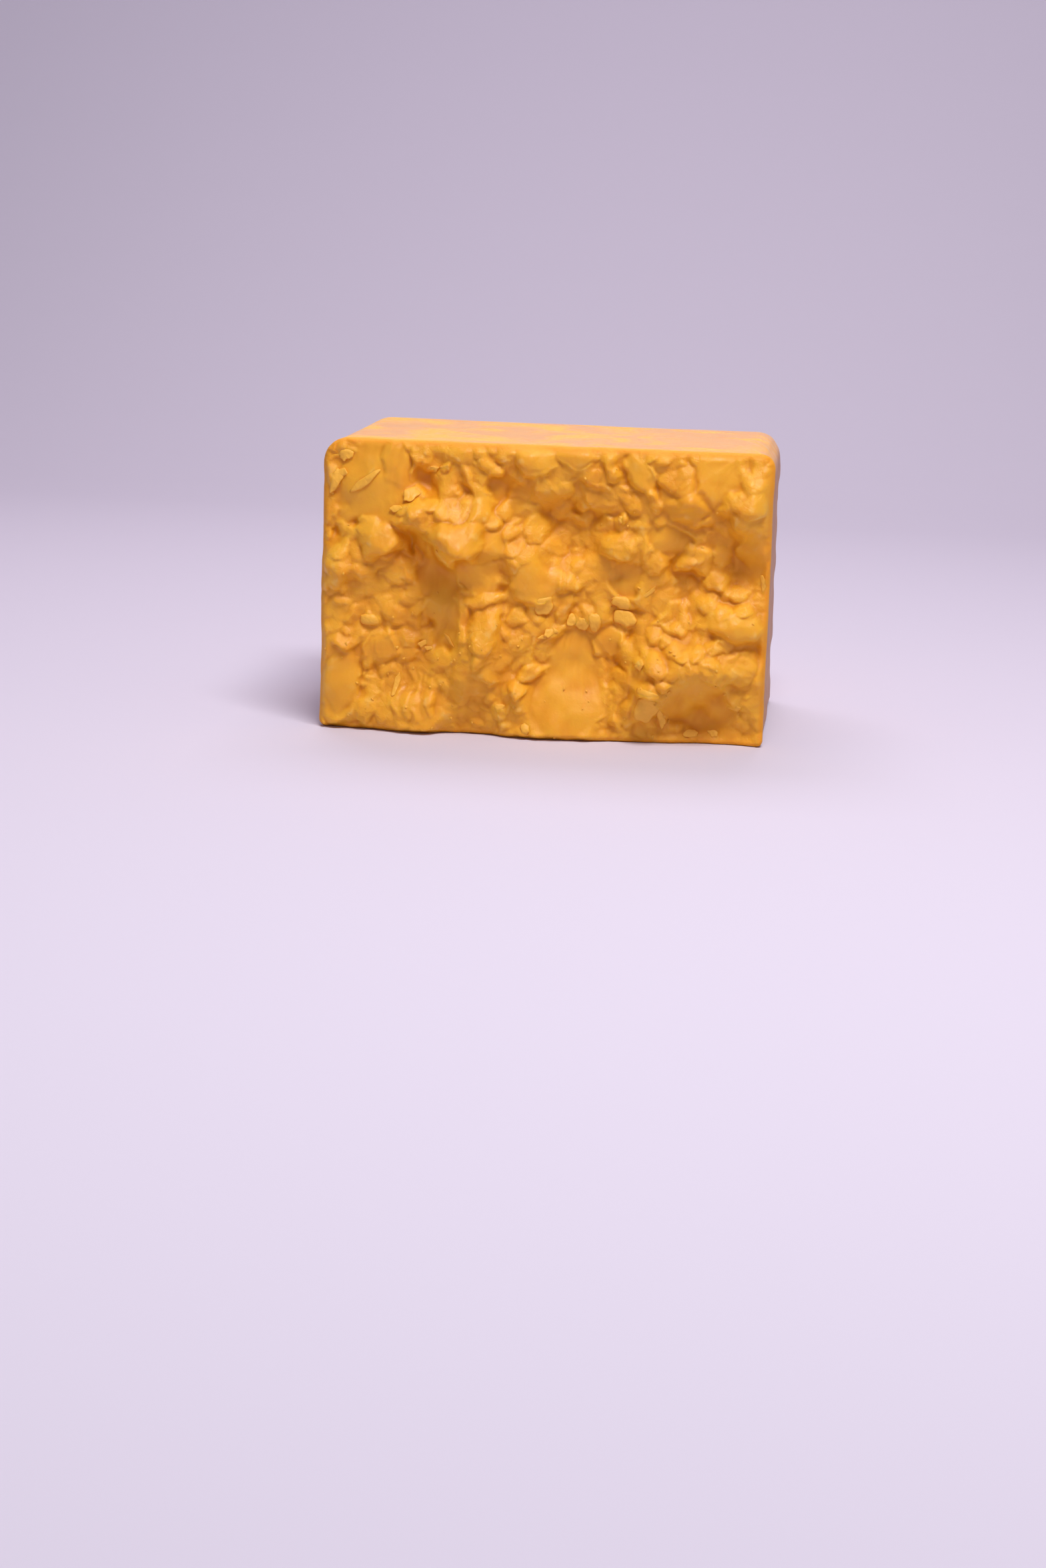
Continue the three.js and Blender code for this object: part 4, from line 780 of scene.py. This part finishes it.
# Thin leaves that lift off the break: across, up, half width, half height, turn, sides,
# which way the free edge points in degrees, lift, thickness
flakes = [
    (-62.8, 86, 2.7, 1.9, -8, 5, -80, 0.9, 0.9), (-65.6, 78, 1.8, 3.4, -20, 5, 280, 1.1, 0.9),
    (-63.6, 80.4, 1.7, 1.3, 20, 5, 0, 0.8, 0.7), (-55.8, 78.3, 5.4, 1.4, 37, 7, -53, 1.3, 0.9),
    (-41.4, 74.8, 2.7, 1.8, 24, 5, 200, 0.9, 1.2), (-46, 70.4, 2.1, 0.9, 12, 5, 200, 0.9, 0.7),
    (-35, 82.6, 1.4, 0.8, 0, 4, 120, 0.8, 0.6), (-31, 83.2, 1.3, 0.9, 30, 4, 60, 0.8, 0.6),
    (-53.8, 35, 3.3, 1.9, -8, 7, 250, 0.3, 1.5), (-45.2, 14.6, 0.8, 3.7, -14, 5, 180, 0.7, 0.5),
    (2.6, 33.3, 1.7, 1.2, 20, 5, 250, 1.1, 0.8), (4.2, 33.9, 1, 0.8, 0, 5, 0, 0.8, 0.8),
    (1, 32, 1.3, 0.7, -10, 4, 200, 0.9, 0.6), (24.6, 43.4, 3, 2.2, -18, 7, 160, 0.7, 1.3),
    (22.4, 44.8, 1.3, 0.6, 30, 4, 150, 0.9, 0.5), (25.6, 38.6, 3.7, 2.8, -12, 7, 250, 0.7, 1.4),
    (33.8, 11.4, 3.8, 4.1, -25, 6, 250, 2, 1.3), (38.3, 8.6, 1, 2.6, 24, 4, 290, 1.1, 0.6),
    (33.2, 47.2, 0.6, 2.5, -45, 4, 50, 0.8, 0.5), (9.2, 37.2, 1.5, 1.8, 10, 6, 260, 0.8, 1),
    (12.6, 36.2, 2, 2, -15, 6, 270, 0.9, 1.1), (16.4, 37.2, 2, 3.2, 8, 7, 265, 0.9, 1.2),
    (23.8, 69.4, 1.3, 1.2, 0, 5, 200, 1, 1.3), (0.6, 41.6, 3.1, 2.5, 30, 6, 300, 0.9, 1),
    (33.6, 17, 3.1, 1.4, -22, 5, 250, 1.1, 0.9), (68, 51.5, 0.7, 2.3, 18, 4, 20, 0.7, 0.5),
    (47.4, 3.2, 2.6, 1.2, 4, 5, 90, 0.5, 0.7), (54.5, 3.4, 1.7, 1, -20, 5, 90, 0.5, 0.6),
    (-37, 28.2, 1.4, 0.8, 25, 4, 200, 0.8, 0.6), (-35.2, 26.7, 1.1, 0.6, 10, 4, 180, 0.7, 0.5),
    (-28.6, 29.6, 0.5, 2.2, 38, 4, 60, 0.6, 0.4), (-12, 9.8, 1.6, 0.9, 0, 5, 200, 0.6, 0.7),
    (-3.6, 3.4, 1.5, 1.9, 10, 7, 240, 0.5, 1.2), (31, 25.2, 1.6, 1.3, 20, 5, 220, 0.9, 1),
    (60.8, 12.2, 1.8, 0.9, -6, 5, 270, 0.4, 0.6),
]
flakeShape = {"rings": 7, "spokes": 40, "ragged": 0.12, "buckle": 0.12}


def heightAt(values, across, up):  # the value at any place on the break, between the grid's own places
    x = np.clip((across - columns[0]) / (columns[1] - columns[0]), 0, len(columns) - 1.001)
    y = np.clip((up - rows[0]) / (rows[1] - rows[0]), 0, len(rows) - 1.001)
    i, j = x.astype(int), y.astype(int)
    a, b = x - i, y - j
    low = values[j, i] * (1 - a) + values[j, i + 1] * a
    high = values[j + 1, i] * (1 - a) + values[j + 1, i + 1] * a
    return low * (1 - b) + high * b


def buildFlakes():
    ground = blur(front, 3)
    points, faces = [], []
    spokes, rings = flakeShape["spokes"], flakeShape["rings"]
    angle = 2 * math.pi * np.arange(spokes) / spokes
    shares = np.concatenate([[0], (np.arange(1, rings + 1) / rings) ** 0.7])
    for index, flake in enumerate(flakes):
        middleAcross, middleUp, halfWidth, halfHeight, degrees, sides, wayDegrees, lifted, thickness = flake
        way, turn = math.radians(wayDegrees), math.radians(degrees)
        outline = 1 / manySided(np.cos(angle), np.sin(angle), sides, 6000 + index)
        outline *= 1 + flakeShape["ragged"] * wave(2.2 * np.cos(angle) + 9 * index, 2.2 * np.sin(angle), 95)
        x = halfWidth * shares[:, None] * outline * np.cos(angle)
        y = halfHeight * shares[:, None] * outline * np.sin(angle)
        across = middleAcross + x * math.cos(turn) - y * math.sin(turn)
        up = middleUp + x * math.sin(turn) + y * math.cos(turn)
        free = (across - middleAcross) * math.cos(way) + (up - middleUp) * math.sin(way)
        free = free / max(halfWidth, halfHeight)
        lift = lifted * np.clip(0.5 + 0.5 * free, 0, 1) ** 2
        lift = lift + flakeShape["buckle"] * wave(across / 1.1, up / 1.1, 96)
        thick = 0.5 * thickness * np.sqrt(np.clip(1 - shares ** 3, 0, 1))[:, None]
        middle = heightAt(ground, across, up) + lift
        outX, outZ = roundCorners(across, up, 0, 0)
        first = len(points)
        points.append((outX[0, 0], rimPlace - (middle + thick)[0, 0], outZ[0, 0]))
        for ring in range(1, rings + 1):
            points += zip(outX[ring], rimPlace - (middle + thick)[ring], outZ[ring])
        for ring in range(rings - 1, 0, -1):
            points += zip(outX[ring], rimPlace - (middle - thick)[ring], outZ[ring])
        points.append((outX[0, 0], rimPlace - (middle - thick)[0, 0], outZ[0, 0]))
        last = len(points) - 1
        for k in range(spokes):
            following = (k + 1) % spokes
            faces.append((first, first + 1 + k, first + 1 + following))
            for ring in range(2 * rings - 2):
                inner = first + 1 + ring * spokes
                faces.append((inner + k, inner + spokes + k, inner + spokes + following, inner + following))
            inner = last - spokes
            faces.append((inner + k, last, inner + following))
    return addMesh("tornFlakes", np.array(points) * mm, faces, {"cavity": np.full(len(points), crestCavity)})


# Crumbs that stayed on the break: dented balls with a half width in millimetres, pressed flatter
crumbs = {"smallest": 0.25, "largest": 0.60, "perSquareMetre": 26000, "apart": 1.2, "seed": 14,
          "dentSize": 1.3, "dent": 1.6, "flatness": 0.6}


def addInput(tree, name, kind, value):
    socket = tree.interface.new_socket(name, in_out="INPUT", socket_type=kind)
    if value is not None:
        socket.default_value = value
    return socket


def buildCrumbs(ground):
    tree = bpy.data.node_groups.new("looseCrumbs", "GeometryNodeTree")
    inputs = {"Ground": addInput(tree, "Ground", "NodeSocketGeometry", None)}
    for name in ("Smallest", "Largest", "Density", "Apart"):
        inputs[name] = addInput(tree, name, "NodeSocketFloat", 0.0)
    tree.interface.new_socket("Crumbs", in_out="OUTPUT", socket_type="NodeSocketGeometry")
    given = addNode(tree, "NodeGroupInput", {}, {}).outputs
    where = addNode(tree, "GeometryNodeInputNamedAttribute", {"data_type": "FLOAT", "Name": "crumbly"}, {})
    strewn = addNode(tree, "GeometryNodeDistributePointsOnFaces",
                     {"distribute_method": "POISSON", "Seed": crumbs["seed"]},
                     {"Mesh": given["Ground"], "Distance Min": given["Apart"],
                      "Density Max": given["Density"], "Density Factor": where.outputs["Attribute"]})
    ball = addNode(tree, "GeometryNodeMeshIcoSphere", {"Radius": 1.0, "Subdivisions": 3}, {})
    rough = addNode(tree, "ShaderNodeTexNoise", {"Scale": crumbs["dentSize"], "Detail": 2.0}, {})
    centred = addNode(tree, "ShaderNodeVectorMath", {"operation": "SUBTRACT", 1: (0.5, 0.5, 0.5)},
                      {0: rough.outputs["Color"]})
    dents = addNode(tree, "ShaderNodeVectorMath", {"operation": "MULTIPLY", 1: (crumbs["dent"],) * 3},
                    {0: centred.outputs[0]})
    crumb = addNode(tree, "GeometryNodeSetPosition", {},
                    {"Geometry": ball.outputs["Mesh"], "Offset": dents.outputs[0]})
    turned = addNode(tree, "FunctionNodeRandomValue",
                     {"data_type": "FLOAT_VECTOR", "Max": (6.28, 6.28, 6.28), "Seed": 3}, {})
    size = addNode(tree, "FunctionNodeRandomValue", {"data_type": "FLOAT", "Seed": 5},
                   {2: given["Smallest"], 3: given["Largest"]})
    flat = addNode(tree, "ShaderNodeCombineXYZ", {}, {0: size.outputs[1], 1: size.outputs[1]})
    low = addNode(tree, "ShaderNodeMath", {"operation": "MULTIPLY", 1: crumbs["flatness"]},
                  {0: size.outputs[1]})
    tree.links.new(low.outputs[0], flat.inputs[2])
    placed = addNode(tree, "GeometryNodeInstanceOnPoints", {},
                     {"Points": strewn.outputs["Points"], "Instance": crumb.outputs[0],
                      "Rotation": turned.outputs[0], "Scale": flat.outputs[0]})
    real = addNode(tree, "GeometryNodeRealizeInstances", {}, {"Geometry": placed.outputs[0]})
    stored = real
    for name, value in (("cavity", crestCavity), ("thick", 0.0)):
        stored = addNode(tree, "GeometryNodeStoreNamedAttribute",
                         {"data_type": "FLOAT", "domain": "POINT", "Name": name, "Value": value},
                         {"Geometry": stored.outputs[0]})
    coloured = addNode(tree, "GeometryNodeSetMaterial", {"Material": cheese}, {"Geometry": stored.outputs[0]})
    addNode(tree, "NodeGroupOutput", {}, {0: coloured.outputs[0]})
    host = bpy.data.objects.new("crumbHost", ground.data)
    bpy.context.scene.collection.objects.link(host)
    modifier = host.modifiers.new("crumbs", "NODES")
    modifier.node_group = tree
    for name, value in (("Smallest", crumbs["smallest"] * mm), ("Largest", crumbs["largest"] * mm),
                        ("Density", crumbs["perSquareMetre"]), ("Apart", crumbs["apart"] * mm)):
        modifier[inputs[name].identifier] = float(value)
    evaluated = host.evaluated_get(bpy.context.evaluated_depsgraph_get())
    mesh = bpy.data.meshes.new_from_object(evaluated)
    bpy.data.objects.remove(host)
    mesh.polygons.foreach_set("use_smooth", np.ones(len(mesh.polygons), dtype=bool))
    thing = bpy.data.objects.new("looseCrumbs", mesh)
    bpy.context.scene.collection.objects.link(thing)
    return thing


cheese = makeCheese()
columns = np.linspace(-block["width"] / 2, block["width"] / 2, round(block["width"] / block["faceStep"]) + 1)
rows = np.linspace(0, block["height"], round(block["height"] / block["faceStep"]) + 1)
front, calm, cavity, inward = breakSurface(columns, rows)
cheddarBlock = buildBlock()
cheddarBlock.data.materials.append(cheese)
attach(cheddarBlock, "root")
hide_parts("cheddar_block")
print("block", len(cheddarBlock.data.polygons))

tornFlakes = buildFlakes()
tornFlakes.data.materials.append(cheese)
looseCrumbs = buildCrumbs(cheddarBlock)
for extra in (tornFlakes, looseCrumbs):
    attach(extra, "root")
    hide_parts("cheddar_block")
    print(extra.name, len(extra.data.polygons))

# The camera stands where the photograph's did, worked out from the block's edges.
# Its place is given from the middle of the rim's foot, in millimetres.
camera = {
    "place": (90.3, -856.2, 171.8),
    "turn": -6.308,     # degrees to the left of straight on
    "tilt": 12.249,     # degrees down
    "roll": 1.746,
    "focalPixels": 4200,
    "framePixels": 2350,
    "sensor": 36,
}


def addCamera():
    data = bpy.data.cameras.new("camera")
    data.sensor_width = camera["sensor"]
    data.lens = camera["sensor"] * camera["focalPixels"] / camera["framePixels"]
    turn, tilt, roll = [math.radians(camera[name]) for name in ("turn", "tilt", "roll")]
    ahead = Vector((math.sin(turn) * math.cos(tilt), math.cos(turn) * math.cos(tilt), -math.sin(tilt)))
    levelRight = Vector((math.cos(turn), -math.sin(turn), 0))
    levelUp = levelRight.cross(ahead)
    right = math.cos(roll) * levelRight + math.sin(roll) * levelUp
    up = math.cos(roll) * levelUp - math.sin(roll) * levelRight
    place = Vector(camera["place"]) + Vector((0, rimPlace, 0))
    matrix = Matrix((right, up, -ahead)).transposed().to_4x4()
    matrix.translation = place * mm
    thing = bpy.data.objects.new("camera", data)
    thing.matrix_world = matrix
    bpy.context.scene.collection.objects.link(thing)
    bpy.context.scene.camera = thing


addCamera()

studio = {
    "card": "d5cddb",
    "world": "dcd6ea",
    "worldStrength": 0.37,
    "sweepRadius": 0.4,    # the card runs back along the floor and curves up behind
    "sweepStart": 0.55,
}

# Large soft lights, in metres and watts: name, place, aim, size, power, colour
lights = [
    ("key", (0.20, -0.45, 0.90), (0, 0, 0.05), (0.40, 0.30), 8, "ffffff"),
    ("behind", (-0.1, 0.45, 0.8), (0, 0, 0.05), (0.6, 0.4), 3, "fff4fa"),
]


def addStage():
    radius, start = studio["sweepRadius"], studio["sweepStart"]
    profile = [(-3, 0), (start, 0)]
    for k in range(1, 13):
        angle = math.pi / 2 * k / 12
        profile.append((start + radius * math.sin(angle), radius * (1 - math.cos(angle))))
    profile.append((start + radius, 3))
    points = [(x, y, z) for y, z in profile for x in (-4, 4)]
    faces = [(2 * k, 2 * k + 1, 2 * k + 3, 2 * k + 2) for k in range(len(profile) - 1)]
    card = addMesh("paleCard", np.array(points, float), faces, {})
    material, tree = newMaterial("mattCard")
    shader = addNode(tree, "ShaderNodeBsdfPrincipled",
                     {"Base Color": toLinear(studio["card"]), "Roughness": 0.9}, {})
    addNode(tree, "ShaderNodeOutputMaterial", {}, {"Surface": shader.outputs["BSDF"]})
    card.data.materials.append(material)
    world = bpy.data.worlds.new("studio")
    world.use_nodes = True
    background = world.node_tree.nodes["Background"]
    background.inputs["Color"].default_value = toLinear(studio["world"])
    background.inputs["Strength"].default_value = studio["worldStrength"]
    bpy.context.scene.world = world


def addSoftLight(name, place, aim, size, power, colour):
    data = bpy.data.lights.new(name, "AREA")
    data.shape = "RECTANGLE"
    data.size, data.size_y = size
    data.energy = power
    data.color = toLinear(colour)[:3]
    thing = bpy.data.objects.new(name, data)
    thing.location = place
    thing.rotation_euler = (Vector(aim) - Vector(place)).to_track_quat("-Z", "Y").to_euler()
    bpy.context.scene.collection.objects.link(thing)


addStage()
for light in lights:
    addSoftLight(*light)
bpy.context.scene.view_settings.view_transform = "Standard"  # keeps the orange as strong as it is
